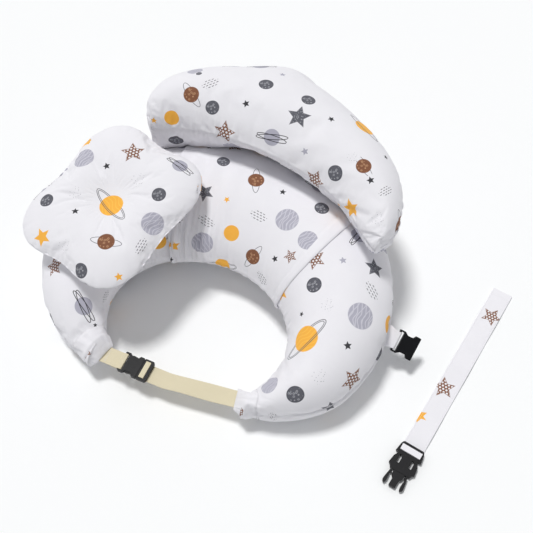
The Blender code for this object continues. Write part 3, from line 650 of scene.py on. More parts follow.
# black acetal with a fine moulded grain and faint wear, the zip's brushed metal, sewing thread, the floor
PLASTIC = plain_material("moulded_black_plastic", (220, 4), (9, 9, 12), (18, 18, 22), (300, 3, 0.16, 0.36),
                         (2600, 0.00005, 0.4), Specular_IOR_Level=0.22)
METAL = plain_material("zip_metal_finish", (400, 3), (150, 150, 154), (196, 196, 200), (900, 2, 0.25, 0.25),
                       Metallic=0.85)
THREAD = plain_material("sewing_thread", (3000,), (222, 220, 224), (244, 243, 246), 0.7)
FLOOR = plain_material("pale_floor", (1.5,), (247, 248, 249), (249, 250, 250), 0.95, Specular_IOR_Level=0.1)


# ---- the pieces ----
def finished(obj, body, slot, *replaced):
    """Hides the CAD nodes that the piece replaces and attaches it to the body that it moves with; slot, its
    finish, is not used.
    """
    if replaced:
        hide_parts(*replaced)
    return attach(obj, body)


def crowded(count, seams, strength=0.35):
    """Column angles round a section that lie closer together near the seams."""
    angle = full_turn(count)
    return angle - strength * np.sin(seams * angle) / seams


def cushion(name, points, shape, fill, body, *replaced):
    """A padded piece: a closed tube of rings with its two end points."""
    made = make_object(name, points, closed_faces(*shape[:2]), COTTON)
    return finished(made, body, "printed_cotton", *replaced)


def build_pillow(surface):
    t = np.linspace(-1, 1, 2 * PILLOW_ROWS)[:, None]
    angle = crowded(2 * PILLOW_COLUMNS, 2)[None, :]
    points = on_pillow(surface, t, angle)
    normals = grid_normals(points)
    relief = seam_relief(points, 0) + seam_relief(points, PILLOW_COLUMNS, 0.002, 0.0013, 0.02, 2)
    in_zip = smooth((t - ZIP_T[0]) / 0.012) * smooth((ZIP_T[1] - t) / 0.012)
    away = round_distance(angle, 0)
    opening = in_zip * smooth((ZIP_HALF_ANGLE + 0.02 - away) / 0.03)
    lip = in_zip * peak(away, 0.03, ZIP_HALF_ANGLE + 0.045)
    relief = relief * (1 - in_zip * smooth((0.35 - away) / 0.1)) - 0.0042 * opening + 0.0008 * lip
    relief = relief * (1 - smooth((t + 0.33) / 0.02) * smooth((0.385 - t) / 0.02))  # smooth under the sleeve
    points = points + normals * relief[..., None]
    points[..., 2] = np.maximum(points[..., 2], 0.0003)
    ends = with_end_points(points)
    return cushion("main_pillow", ends, points.shape, 0.85, "pillow", "main_cover", "main_filling")


def build_sleeve(surface):
    share = np.linspace(-1, 1, SLEEVE_ROWS)[:, None]
    angle = crowded(SLEEVE_COLUMNS, 2)[None, :]
    outside = (1 + np.cos(angle)) / 2
    reach = SLEEVE_REACH_AT_HOLE + (SLEEVE_REACH_OUTSIDE - SLEEVE_REACH_AT_HOLE) * outside
    base = on_pillow(surface, share * reach + SLEEVE_EXTRA_AT_RIGHT * np.maximum(share, 0), angle)
    normals = grid_normals(base)
    run = run_along(base)
    from_right = run[-1:] - run

    # the folded hem at the right end: a band with a stitched inner edge
    hem = HEM_WIDTH * (0.55 + 0.45 * smooth((2.5 - round_distance(angle, 0)) / 1.3))
    band = smooth((hem - from_right) / 0.0014) * 0.001
    groove = -0.0009 * peak(from_right, 0.0013, hem + 0.0014)
    uneven = 1 + ripple(angle, (19, 0.5, 0.6), (31, 2, 0.4))
    edge_lift = 0.0006 * peak(from_right, 0.004) * uneven

    # gathers at the left end, pushed together on the side of the hole, and small puckers along the seam
    lean = 55 * (angle - 2.6) + 8 * np.sin(3 * angle)
    folds = ripple(run + 0.004 * np.sin(5 * angle), (640, 0.3, 0.55), (395, 1.9, 0.45))
    folds = folds + 0.35 * np.sin(900 * run + 0.12 * lean)
    gathers = 0.0044 * peak(round_distance(angle, radians(152)), 0.62) * peak(run, 0.062) * (0.9 + folds)
    waves = 1 + ripple(run, (300, 0.4, 0.6), (470, 2.2, 0.4))
    puckers = 0.0011 * peak(round_distance(angle, pi), 0.42) * waves
    drawn = 0.0012 * peak(round_distance(angle, radians(95)), 0.8) * peak(run, 0.11)
    drawn = drawn * (1 + np.sin(170 * run + 2 * angle))
    relief = np.maximum(band + groove + edge_lift + gathers + puckers + drawn, -0.0007)

    rim_drop = 0.0016 * peak(from_right, 0.0016) + 0.0005 * peak(from_right, 0.006)
    outer = base + normals * (SLEEVE_CLEARANCE + SLEEVE_CLOTH + relief - rim_drop)[..., None]
    inner = base + normals * (SLEEVE_CLEARANCE - 0.0005 * peak(from_right, 0.006))[..., None]
    rim = (outer + inner) / 2
    right = rim[-1:] + unit(base[-1:] - base[-2:-1]) * 0.0006
    left = rim[:1] + unit(base[:1] - base[1:2]) * 0.0006
    outer[..., 2] = np.maximum(outer[..., 2], 0.0002)
    inner[..., 2] = np.maximum(inner[..., 2], 0.001)
    rows = np.concatenate([outer, right, inner[::-1], left])
    faces = grid_faces(len(rows), SLEEVE_COLUMNS, along=True)
    sleeve = make_object("wrap_sleeve_cloth", rows, faces, COTTON)
    around = np.linalg.norm(np.roll(base, -1, 1) - base, axis=2).sum(1).mean()
    plain = (from_right < hem + 0.001) & (share > 0)
    return finished(sleeve, "pillow", "printed_cotton", "wrap_sleeve"), plain


def along_stations(share):
    """A smooth curve through the bolster's stations."""
    stations = np.array(BOLSTER_STATIONS)
    place = share * (len(stations) - 1)
    i = np.minimum(place.astype(int), len(stations) - 2)
    around = (stations[np.clip(i + step, 0, len(stations) - 1)] for step in range(-1, 3))
    return catmull_rom(*around, (place - i)[:, None])


def bolster_surface(share, angle, inset=0):
    front_x, front_y, back_x, back_y, thick = along_stations(share).T
    front, back = np.stack([front_x, front_y], -1), np.stack([back_x, back_y], -1)
    across = unit(back - front)
    half = np.linalg.norm(back - front, axis=-1) / 2 - inset
    offset = half[:, None] * np.cos(angle)[None, :]
    plan = ((front + back) / 2)[:, None, :] + across[:, None, :] * offset[..., None]
    droop = offset * tan(BOLSTER_TILT) * smooth(half / 0.09)[:, None]
    height = BOLSTER_Z - droop + (thick - inset)[:, None] * np.sin(angle)[None, :]
    return np.concatenate([plan, height[..., None]], -1)


def rest_on(points, seats, clearance):
    """Lifts the points that lie lower than the seats below them."""
    for index, point in enumerate(points):
        for seat in seats:
            hit = seat.ray_cast(Vector((point[0], point[1], 1)), Vector((0, 0, -1)))[0]
            if hit is not None and point[2] < hit.z + clearance:
                points[index, 2] = hit.z + clearance
    return points


def end_crowded(count):
    """Shares from 0 to 1, closer together at both ends."""
    share = np.linspace(0, 1, count)
    return share - 0.75 * np.sin(TURN * share) / TURN


def build_bolster(seats):
    share, angle = end_crowded(BOLSTER_ROWS), full_turn(BOLSTER_COLUMNS)
    rings = bolster_surface(share, angle, 0.002)
    under = np.maximum(-np.sin(angle), 0)[None, :] ** 0.5
    sag = BOLSTER_SAG * smooth((0.38 - share) / 0.22)[:, None]
    rings[..., 2] -= sag * smooth(share / 0.03)[:, None] * under
    points = rest_on(with_end_points(rings), seats, BOLSTER_CLEARANCE + 0.002)
    seam = (round_distance(angle, 0) < 0.05) | (round_distance(angle, pi) < 0.05)
    tip = (share < 0.012) | (share > 0.988)
    grid = inflated(points, rings.shape[:2], seam[None, :] | tip[:, None], BOLSTER_SWELL, 0.035)

    row = np.linspace(0, BOLSTER_ROWS - 1.001, 2 * BOLSTER_ROWS)[:, None]
    fine = resampled(grid, row, crowded(2 * BOLSTER_COLUMNS, 2)[None, :] / TURN * BOLSTER_COLUMNS)
    relief = seam_relief(fine, 0, 0.0018, 0.0019, 0.026, 1)
    relief = relief + seam_relief(fine, BOLSTER_COLUMNS, 0.002, 0.0021, 0.03, 4)
    relief = relief * smooth(np.minimum(row, BOLSTER_ROWS - 1 - row) / 4)
    points = rest_on(with_end_points(fine + grid_normals(fine) * relief[..., None]), seats, BOLSTER_CLEARANCE)
    return cushion("bolster_cushion", points, fine.shape, 0.9, "bolster", "bolster_cover", "bolster_filling")


def head_place():
    turn = Matrix.Rotation(HEAD_TURN, 4, "Z") @ Matrix.Rotation(HEAD_TILT, 4, "X")
    return np.array(Matrix.Translation(HEAD_CENTRE) @ turn)


def head_edge(angle):
    return HEAD_RADIUS * (1 + HEAD_LOBES * np.cos(4 * (angle - pi / 4)))


def head_surface(share, angle, side, inset=0):
    """Local points of the head pillow; share runs from the middle to the edge, side is 1 for the top."""
    radius = (head_edge(angle) - inset) * share
    crown = (1 - share**3) ** 0.6
    dent = HEAD_DENT_DEPTH * peak(radius, HEAD_DENT_RADIUS)
    height = np.where(side > 0, (HEAD_TOP - inset) * crown - dent, -(HEAD_BOTTOM - inset) * crown)
    return np.stack([radius * np.cos(angle), radius * np.sin(angle) * HEAD_LENGTH_SHARE, height], -1)


def to_world(place, points):
    return points @ place[:3, :3].T + place[:3, 3]


def build_head_pillow():
    spread = np.sin(np.linspace(0.04, 0.5 * pi, HEAD_STEPS))
    share = np.concatenate([spread, spread[-2::-1]])
    side = np.concatenate([np.ones(HEAD_STEPS), -np.ones(HEAD_STEPS - 1)])
    shape = len(share), HEAD_SPOKES
    grid_share, grid_angle = np.meshgrid(share, -full_turn(HEAD_SPOKES), indexing="ij")
    rings = head_surface(grid_share, grid_angle, np.repeat(side[:, None], HEAD_SPOKES, 1), 0.0015)
    pinned = (share > 0.999) | ((share < 0.22) & (side > 0))
    points = to_world(head_place(), with_end_points(rings))
    grid = inflated(points, shape, np.repeat(pinned[:, None], HEAD_SPOKES, 1), HEAD_SWELL, 0.03)

    rows, spokes = 2 * shape[0], 2 * HEAD_SPOKES
    row = np.linspace(0, shape[0] - 1.001, rows)[:, None]
    fine = resampled(grid, row, np.linspace(0, HEAD_SPOKES, spokes, endpoint=False)[None, :])
    run = run_along(fine)
    edge = run - run[rows // 2 - 1 : rows // 2]
    waves = ripple(full_turn(spokes)[None, :], (43, 0.4, 0.5), (67, 2, 0.35), (29, 1.1, 0.3))
    relief = 0.0008 * waves * peak(edge, 0.022) * smooth(np.abs(edge) / 0.008) - 0.0003 * peak(edge, 0.004)
    points = with_end_points(fine + grid_normals(fine) * relief[..., None])
    solids = "head_pillow_cover", "head_pillow_filling"
    return cushion("head_cushion", points, fine.shape, 0.6, "head_pillow", *solids)


# ---- bands: webbing, straps and tabs swept along a line ----
def rounded_line(corners, radius, step):
    """Points along a broken line whose corners are rounded, no further apart than the step."""
    corners = [np.asarray(c, float) for c in corners]
    points = [corners[0]]
    for before, corner, after in zip(corners, corners[1:], corners[2:]):
        back, ahead = before - corner, after - corner
        cut = min(radius, np.linalg.norm(back) * 0.49, np.linalg.norm(ahead) * 0.49)
        start, end = corner + unit(back) * cut, corner + unit(ahead) * cut
        points += [(1 - share) ** 2 * start + 2 * share * (1 - share) * corner + share**2 * end
                   for share in np.linspace(0, 1, 6)]
    points.append(corners[-1])
    filled = [points[0]]
    for a, b in zip(points, points[1:]):
        count = max(1, int(np.ceil(np.linalg.norm(b - a) / step)))
        filled += [a + (b - a) * (i + 1) / count for i in range(count)]
    return np.array(filled)


def band(name, line, sideways, width, thickness, look, relief=None, across=22):
    """A closed band with rounded edges: sideways is its width direction at each point of the line."""
    line = np.asarray(line, float)
    sideways = unit(np.broadcast_to(np.asarray(sideways, float), line.shape))
    up = unit(np.cross(unit(np.gradient(line, axis=0)), sideways))
    half = thickness / 2
    edge = [(0.55, 0.75), (0.9, 0.4), (1, 0), (0.9, -0.4), (0.55, -0.75)]
    run = run_along(line)
    rings = []
    for i, inner in enumerate(np.broadcast_to(np.asarray(width, float), run.shape) / 2 - half):
        top = [(inner * f, half) for f in np.linspace(-1, 1, across)]
        top += [(inner + half * e, half * z) for e, z in edge]
        profile = np.array(top + [(-x, -z) for x, z in top])
        if relief is not None:
            profile[:, 1] += np.sign(profile[:, 1]) * relief(run[i], profile[:, 0])
        rings.append(line[i] + profile[:, :1] * sideways[i] + profile[:, 1:] * up[i])
    made = make_object(name, with_end_points(rings), closed_faces(len(rings), len(rings[0])), look)
    made.data.set_sharp_from_angle(angle=radians(60))
    return made


def stitches(name, line, up, body, slot, length=0.0026, gap=0.0014):
    """Short rounded stitches end to end along a line; up is the way that they stand proud."""
    line = np.asarray(line, float)
    up, run = np.broadcast_to(np.asarray(up, float), line.shape), run_along(line)
    points, faces = [], []

    def at(distance, values):
        return np.array([np.interp(distance, run, values[:, k]) for k in range(3)])

    for start in np.arange(0, run[-1] - length, length + gap):
        rows = []
        ahead = unit(at(start + length, line) - at(start, line))
        for share, size in ((0, 0.35), (0.2, 0.9), (0.5, 1), (0.8, 0.9), (1, 0.35)):
            here, out = at(start + share * length, line), unit(at(start + share * length, up))
            side = np.cross(out, ahead)
            centre = here + out * (THREAD_PROUD - THREAD_THICKNESS * 0.5 * (share - 0.5) ** 2 * 4)
            rows.append([centre + (side * cos(a) + out * sin(a)) * THREAD_THICKNESS * size / 2
                         for a in full_turn(6)])
        faces += [tuple(len(points) + v for v in face) for face in closed_faces(5, 6)]
        points += list(with_end_points(rows))
    finished(make_object(name, points, faces, THREAD), body, slot)


def woven(run, across):
    """Relief of belt webbing: cross ribs, flatter at its selvedges."""
    edge = smooth((WEBBING_WIDTH / 2 - np.abs(across)) / 0.002)
    return 0.00012 * np.sin(TURN * (run + 0.25 * np.abs(across)) / WEBBING_RIB) * edge


def build_belt():
    """A short webbing turned round its ladder bar, and a long one drawn taut and a little twisted."""
    over = 1.1 * WAIST_UNIT + 0.0003 + WEBBING_THICKNESS / 2
    below = -WEBBING_THICKNESS - 0.0003
    path = [(42, 0), (39.7, over), (32.3, over), (32.3, -over), (38.8, -over), (42, below), (52, below)]
    path = [(WAIST_MOUTH_X - BELT_LEFT_END_X + BELT_TUCKED_IN, 0)] + [(x * WAIST_UNIT, z) for x, z in path]
    line = rounded_line([(WAIST_MOUTH_X - x, BELT_Y, BELT_Z + z) for x, z in path], 0.0009, 0.0005)
    left = band("belt_webbing_short", line, (0, 1, 0), WEBBING_WIDTH, WEBBING_THICKNESS, WEBBING, woven)
    finished(left, "pillow", "belt_webbing", "waist_webbing_left")

    under = -3 * WAIST_UNIT - 0.0006 - 0.0003 - WEBBING_THICKNESS / 2
    reach = BELT_RIGHT_END_X - WAIST_MOUTH_X + BELT_TUCKED_IN
    corners = [(3 * WAIST_UNIT, under), (0.046, under), (0.076, 0), (reach, 0)]
    line = rounded_line([(WAIST_MOUTH_X + x, BELT_Y, BELT_Z + z) for x, z in corners], 0.02, 0.0005)
    share = np.clip((line[:, 0] - WAIST_MOUTH_X - 0.046) / (reach - 0.052), 0, 1)
    line[:, 1] += BELT_RIGHT_DRIFT * share
    line[:, 2] -= 0.0022 * np.sin(pi * share)
    twist = radians(14) * np.sin(pi * np.clip(share * 1.15, 0, 1)) * (share - 0.42) * 2.2
    sideways = np.stack([0 * twist, np.cos(twist), np.sin(twist)], -1)
    right = band("belt_webbing_long", line, sideways, WEBBING_WIDTH, WEBBING_THICKNESS, WEBBING, woven)
    finished(right, "pillow", "belt_webbing", "waist_webbing_right")

    x, z = BELT_LEFT_END_X + 0.0048, BELT_Z + WEBBING_THICKNESS / 2 + 0.00005
    for index, dx in enumerate((-0.0008, 0.0008)):
        row = [(x + dx, BELT_Y + y, z) for y in np.linspace(-0.011, 0.011, 12)]
        stitches(f"belt_bartack_short_{index}", row, UP, "pillow", "belt_webbing", 0.002, 0.0003)


def build_cuff(surface, side, name, node):
    """The sewn end of an arm: gathered where it leaves the pillow, flat where it holds the webbing."""
    angle, rows = full_turn(96), []
    for step in range(5):
        ring = on_pillow(surface, np.full_like(angle, side * (0.945 + 0.01 * step)), angle)
        rows.append(ring + unit(ring - ring.mean(0)) * (0.0002 + 0.0003 * step))
    tip, centre = rows[-1], rows[-1].mean(0)
    y = BELT_Y + (BELT_RIGHT_DRIFT if side > 0 else 0)
    end_x = BELT_RIGHT_END_X if side > 0 else BELT_LEFT_END_X
    wide, high = np.cos(angle), np.sin(angle)
    mouth = end_x + side * CUFF_SLANT * wide, y - CUFF_HALF_WIDTH * wide, BELT_Z + CUFF_HALF_HEIGHT * high
    mouth = np.stack(mouth, -1)
    for share in np.linspace(0, 1, 14)[1:]:
        eased = share**1.35
        ring = tip + (mouth - tip) * np.array([share, eased, eased])
        out = unit(ring - (centre + (mouth.mean(0) - centre) * share))
        gathers = 0.0005 * (1 - share) * share * 4 * (np.sin(11 * angle) + 0.6 * np.sin(19 * angle + 1))
        hem = 0.0004 * float(smooth((share - 0.72) / 0.05)) - 0.0004 * peak(share, 0.04, 0.7)
        rows.append(ring + out * (0.0008 * (1 - share) + hem + gathers)[:, None])
    inward = rows[-1] + (mouth.mean(0) - rows[-1]) * np.array([0, 0.1, 0.45])
    rows += [inward, inward + np.array([side * 0.0022, 0, 0])]
    faces = closed_faces(len(rows), len(angle))
    if side > 0:
        faces = [tuple(reversed(f)) for f in faces]
    cuff = make_object(name, with_end_points(np.array(rows)), faces, COTTON)
    return finished(cuff, "pillow", "printed_cotton", node)


def strap_frame():
    """The strap's direction and its sideways direction."""
    turn = Matrix.Rotation(-pi / 2 - STRAP_TURN, 3, "Z")
    return np.array(turn @ Vector((1, 0, 0))), np.array(turn @ Vector((0, 1, 0)))


def build_strap():
    ahead, side = strap_frame()
    length = STRAP_REACH - 33 * STRAP_UNIT
    run = np.linspace(0, length, STRAP_STEPS)
    wave = 0.0009 * (1 - np.cos(TURN * run / 0.118)) * smooth(run / 0.03) * smooth((length - run) / 0.05)
    line = STRAP_END + ahead * run[:, None] + UP * (STRAP_THICKNESS / 2 + 0.0004 + wave)[:, None]
    seam = STRAP_WIDTH / 2 - 0.0026

    def hems(distance, across):
        end = 0.0006 * smooth((0.013 - distance) / 0.0012) * smooth(distance / 0.0015)
        sunk = -0.0003 * (peak(distance, 0.0007, STRAP_HEM) + peak(np.abs(across), 0.0007, seam))
        edge = 0.00022 * smooth((np.abs(across) - (STRAP_WIDTH / 2 - 0.0022)) / 0.0008)
        return end + sunk + edge + 0.00016 * np.sin(distance * 1500) * peak(np.abs(across), 0.0016, seam)

    strap = band("strap_cloth", line, side, STRAP_WIDTH, STRAP_THICKNESS, COTTON, hems, across=34)
    finished(strap, "strap", "printed_cotton", "strap_fabric")
    top = UP * (STRAP_THICKNESS / 2 - 0.0001)
    here = line[int(round(STRAP_HEM / length * (STRAP_STEPS - 1)))] + top
    rows = {"left": line[6:-4] - side * seam + top, "right": line[6:-4] + side * seam + top,
            "hem": [here + side * y for y in np.linspace(-0.0145, 0.0145, 20)]}
    for word, row in rows.items():
        stitches(f"strap_stitches_{word}", row, UP, "strap", "printed_cotton")
    return strap


def side_frame():
    turn = Matrix.Rotation(SIDE_TURN, 4, "Z") @ Matrix.Rotation(SIDE_DROP, 4, "Y")
    return np.array(Matrix.Translation(SIDE_BAR) @ turn @ Matrix.Rotation(SIDE_ROLL, 4, "X"))


def build_side_tab():
    """A doubled piece of cover cloth round the buckle's bar, sewn into the outer seam, wider at its root."""
    place = side_frame()
    loop = SIDE_TAB_LOOP
    far = SIDE_TAB_LENGTH + 0.008
    half = [(far, loop * 0.35), (SIDE_TAB_LENGTH * 0.75, loop * 0.8)]
    arc = [(loop * -sin(a), loop * cos(a)) for a in np.linspace(0, pi, 15)]
    path = half + arc + [(x, -z) for x, z in reversed(half)]
    local = rounded_line([(x, 0, z) for x, z in path], 0.001, 0.0008)
    width = 0.029 + 0.007 * smooth((local[:, 0] - 0.004) / 0.016)
    line = to_world(place, local)
    tab = band("side_tab_cloth", line, place[:3, 1], width, SIDE_TAB_CLOTH, COTTON)
    finished(tab, "pillow", "printed_cotton", "side_tab")
    for row, y in enumerate((-0.0118, 0.0118)):
        line = np.array([(x, y, loop * 0.93 + 0.0006) for x in np.linspace(0.0035, 0.011, 8)])
        stitches(f"side_tab_stitches_{row}", to_world(place, line), place[:3, 2], "pillow", "printed_cotton")
    return tab


def dress_node(name, look, width, segments=3):
    """A CAD node keeps its shape, gets its finish and soft moulded edges."""
    node = nodes[name]
    node.data.materials.clear()
    node.data.materials.append(look)
    merge = node.modifiers.new("flat_faces", "DECIMATE")
    merge.decimate_type = "DISSOLVE"
    merge.angle_limit = radians(1)
    edges = node.modifiers.new("soft_edges", "BEVEL")
    edges.width = width
    edges.segments = segments
    edges.limit_method = "ANGLE"
    edges.angle_limit = radians(28)
    edges.harden_normals = True


def dress_hardware():
    for prefix, female, scale in (("waist", "waist", WAIST_UNIT), ("strap", "side", STRAP_UNIT)):
        dress_node(f"{prefix}_male_buckle", PLASTIC, 0.55 * scale)
        dress_node(f"{female}_female_buckle", PLASTIC, 0.55 * scale)
        for side in "ab":
            dress_node(f"{prefix}_prong_{side}", PLASTIC, 0.5 * scale)
    dress_node("waist_webbing_loop", WEBBING, 0.0004)
    dress_node("strap_loop", PLAIN_COTTON, 0.0004)
    for name in ("zip_slider", "zip_pull"):
        dress_node(name, METAL, 0.0002, 2)
    dress_node("zip_tape", TAPE, 0.0001, 1)


def build_zip_teeth():
    """Two rows of interlocking teeth along the arc of the CAD bar that they replace."""
    low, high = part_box("zip_teeth")
    middle = np.array((*ZIP_CENTRE, (low[2] + high[2]) / 2))
    first, last = ZIP_ARC
    count = int(abs(first - last) * ZIP_RADIUS / ZIP_TOOTH_SPACING)
    points, faces = [], []
    for i in range(count):
        angle = first + (last - first) * (i + 0.5) / count
        out = np.array((cos(angle), sin(angle), 0))
        ahead = np.array((-sin(angle), cos(angle), 0))
        rows = []
        for depth, share in ((0.0005, 1), (0.0015, 1), (0.0019, 0.7)):
            centre = middle + UP * (0.0007 if i % 2 else -0.0007) + out * (ZIP_RADIUS + depth)
            rows.append([centre + ahead * 0.00048 * x * share + UP * 0.0017 * z * share
                         for x, z in ((-1, -1), (1, -1), (1, 1), (-1, 1))])
        faces += [tuple(len(points) + v for v in reversed(face)) for face in closed_faces(3, 4)]
        points += list(with_end_points(rows))
    teeth = make_object("zip_teeth_rows", points, faces, METAL, flat=True)
    finished(teeth, "pillow", "zip_metal", "zip_teeth")


# ---- placing the print ----
# The marks that show from the front are listed one by one, each on its piece: two numbers for the place, the
# radius in mm and the turn in degrees. A place on the U or its sleeve is t and the section angle. On the bolster
# it is the share along it and the section angle, and on the head pillow and the strap it is in centimetres.
SLEEVE_PRINT = {
    DARK: [(-0.115, 76, 11, 0), (0.205, 77, 12, 0), (0.02, 52, 12, 0)], BLACK_STAR: [(-0.165, 57, 5, 10),
        (0.085, 87, 6, -10), (0.215, 136, 6, 15), (-0.3, 177, 6, 40)], BROWN: [(-0.005, 87, 13.5, 88),
        (0.12, 149, 12.5, 50)], SPECKLED: [(-0.155, 107, 16, 25)], ORANGE_STAR: [(-0.07, 110, 5.5, 30),
        (-0.275, 158, 11, 0)], ORANGE: [(-0.015, 136, 13, 0)], WAVES: [(-0.14, 153, 18, -60),
        (0.155, 104, 19, 70), (0.262, 104, 16, 45)], DASHES: [(-0.135, 131, 14, -35), (0.06, 114, 14, -30),
        (0.2, 165, 12, -50)], POLKA: [(0.262, 124, 12, 20)], SATURN: [(-0.02, 178, 13, 10)],
}
PILLOW_PRINT = {
    SCRIBBLE: [(0.325, 61, 13, 55), (-0.885, 106, 14.5, -58)], LILAC_STAR: [(0.385, 85, 6.5, 10)],
    SPECKLED: [(0.425, 54, 18, 0)], POLKA: [(0.335, 108, 18, 165), (0.72, 27, 21, 30), (0.985, 22, 15, 10),
        (-0.76, 62, 17, 80), (-0.99, 48, 13, 30)], DARK: [(0.425, 117, 12.5, 0), (0.85, 54, 13.5, 0),
        (-0.865, 2, 13, 0)], DOTS: [(0.525, 105, 11, 20), (0.775, 67, 12, 0)], DASHES: [(0.49, 58, 15, -60),
        (-0.8, 160, 10, 40)], WAVES: [(0.565, 66, 21, 80), (0.915, 117, 15, 40)],
    BLACK_STAR: [(0.525, 137, 4.5, 40), (0.66, 66, 7, 5), (-0.97, 118, 4, 0)],
    SATURN: [(0.66, 124, 21, 33)], ORANGE: [(0.55, 17, 14, 0)], ORANGE_STAR: [(0.345, 158, 15, 25)],
}
BOLSTER_PRINT = {
    BROWN: [(0.22, 116, 13, -55), (0.705, 100, 12, -60), (0.87, 15, 14, 70)], WAVES: [(0.23, 66, 13, 0),
        (0.34, 212, 15, 0)], DASHES: [(0.27, 98, 14, 25), (0.79, 80, 12, 35)], DARK: [(0.28, 134, 11.5, 0),
        (0.4, 94, 12, 0), (0.508, 86, 11.5, 0), (0.655, 143, 12.5, 0), (0.155, 213, 13, 0),
        (0.47, 206, 13, 0), (0.24, 78, 5, 0)], BLACK_STAR: [(0.37, 121, 6.5, 15), (0.575, 88, 6, 30),
        (0.745, 102, 6.5, 15), (0.71, 54, 5, 0)], SCRIBBLE: [(0.36, 52, 14, 5), (0.465, 151, 13.5, -8)],
    LILAC_STAR: [(0.42, 72, 6, 0), (0.56, 146, 6.5, 20)], SPECKLED: [(0.51, 110, 20, 200)],
    ORANGE: [(0.15, 156, 12.5, 0)], POLKA: [(0.325, 169, 20, 205), (0.61, 177, 18, 200)],
    SATURN: [(0.63, 52, 17, -45)], DOTS: [(0.67, 106, 9, 0), (0.85, 112, 11, 20)],
    ORANGE_STAR: [(0.75, 167, 16, 40), (0.06, 150, 6, 0)],
}
HEAD_PRINT = {
    POLKA: [(-2, 8.3, 20, 5)], WAVES: [(-8.3, 3.1, 18, 55), (8.8, 0.4, 18, 50)],
    BLACK_STAR: [(-4, 4, 6.5, 15), (-2.7, -5, 6.5, 5)], DOTS: [(2, 4.9, 12, 0), (-4.9, -2.6, 11, 30),
        (-0.4, -10.4, 11, 0)], SCRIBBLE: [(5.6, 10.9, 12.5, -35)], DARK: [(6.5, 4.7, 11.5, 0),
        (-8, -6.1, 11.5, 0), (4.3, -12, 12, 0)], SATURN: [(1, -0.8, 19.5, -52)],
    BROWN: [(5, -6.3, 13.5, -12)], ORANGE_STAR: [(-4.5, -11.2, 15.5, 25), (9.8, -9.4, 7, 10)],
    DASHES: [(9.6, -3.6, 13, 60)],
}
LEFT_TIP_PRINT, RIGHT_TIP_PRINT = {POLKA: [(-0.99, 48, 13, 30)]}, {POLKA: [(0.985, 22, 15, 10)]}
STRAP_PRINT = {
    POLKA: [(5.6, 0.35, 18, 10), (21.6, -0.6, 19, 190)], ORANGE_STAR: [(28, -1.75, 13, 36)],
}
# the strewn kinds and their radii in mm
STREWN_MM = {DARK: 12, ORANGE: 12.5, POLKA: 17, BLACK_STAR: 6, WAVES: 17, DASHES: 13, BROWN: 12.5, DOTS: 11,
             ORANGE_STAR: 8, SPECKLED: 16, SATURN: 14, SCRIBBLE: 12.5}
STREWN_SPACING = 0.04
STREWN_TRIES = 4000


def tangent_axes(normal, turn):
    """Two directions in the cloth at right angles, turned from the camera's own right at rest."""
    right = Vector((cos(CAMERA_AZIMUTH), sin(CAMERA_AZIMUTH), 0))
    first = (right - normal * right.dot(normal)).normalized()
    second = normal.cross(first)
    c, s = cos(radians(turn)), sin(radians(turn))
    return first * c + second * s, second * c - first * s


def strewn(obj, hand_placed, seed):
    """Marks at random over what the front view doesn't show, apart from each other and the rest."""
    draw = random.Random(seed)
    kinds = list(STREWN_MM)
    taken, found, faces = [mark[1] for mark in hand_placed], [], obj.data.polygons
    for _ in range(STREWN_TRIES):
        face = faces[draw.randrange(len(faces))]
        centre = face.center.copy()
        ray = (scene.camera.location - centre).normalized()
        hidden = any(tree.ray_cast(centre + ray * 0.006, ray)[0] for tree in FRONT_TREES)
        if face.normal.dot(ray) > -0.6 and not hidden:
            continue
        if all((centre - other).length > STREWN_SPACING for other in taken):
            kind = kinds[len(found) * 7 % len(kinds)] if len(found) % 3 else draw.choice(kinds)
            taken.append(centre)
            found.append((kind, centre, face.normal.copy(), STREWN_MM[kind] / 1000, draw.uniform(0, 360)))
    return found


def marks_at(tree, at, listed):
    """The listed marks, as (kind, place on the surface, its normal, radius, turn)."""
    found = []
    for kind, marks in listed.items():
        for a, b, radius, turn in marks:
            hit, normal, _, _ = tree.find_nearest(Vector(at(a, b)))
            found.append((kind, hit, normal, radius / 1000, turn))
    return found


def print_on(obj, marks=(), seed=None, plain=None):
    """Writes each face corner's place in its motif, in radii, and the motif's kind, for the shader."""
    marks = list(marks)
    if seed is not None:
        marks += strewn(obj, marks, seed)
    mesh, points = obj.data, points_of(obj)
    sizes, corners = values_of(mesh.polygons, "loop_total"), values_of(mesh.loops, "vertex_index")
    centres, facing = values_of(mesh.polygons, "center", 3), values_of(mesh.polygons, "normal", 3)
    best = np.full(len(sizes), 1e9)
    values = np.zeros((len(corners), 3), np.float32)
    owner = np.repeat(np.arange(len(sizes)), sizes)
    for kind, centre, normal, radius, turn in marks:
        centre, first, second = np.array(centre), *map(np.array, tangent_axes(normal, turn))
        apart = np.linalg.norm(centres - centre, axis=1)
        near = (apart < radius * MOTIF_REACH.get(kind, 1.15) + 0.004) & (facing @ np.array(normal) > 0.1)
        near &= apart / radius < best
        if plain is not None:
            near &= ~plain
        best[near] = apart[near] / radius
        mine = near[owner]
        offset = points[corners[mine]] - centre
        flat = np.stack([offset @ first, offset @ second], -1)
        scale = np.linalg.norm(offset, axis=1) / np.maximum(np.linalg.norm(flat, axis=1), 1e-6) / radius
        values[mine, :2] = flat * np.minimum(scale, 1.6 / radius)[:, None]
        values[mine, 2] = kind
    mesh.attributes.new("print", "FLOAT_VECTOR", "CORNER").data.foreach_set("vector", values.ravel())


def at_section(t, degrees):
    return pillow_surface(t, radians(degrees), 0.018)


def at_bolster(share, degrees):
    return bolster_surface(np.array([share]), np.array([radians(degrees)]))[0, 0]


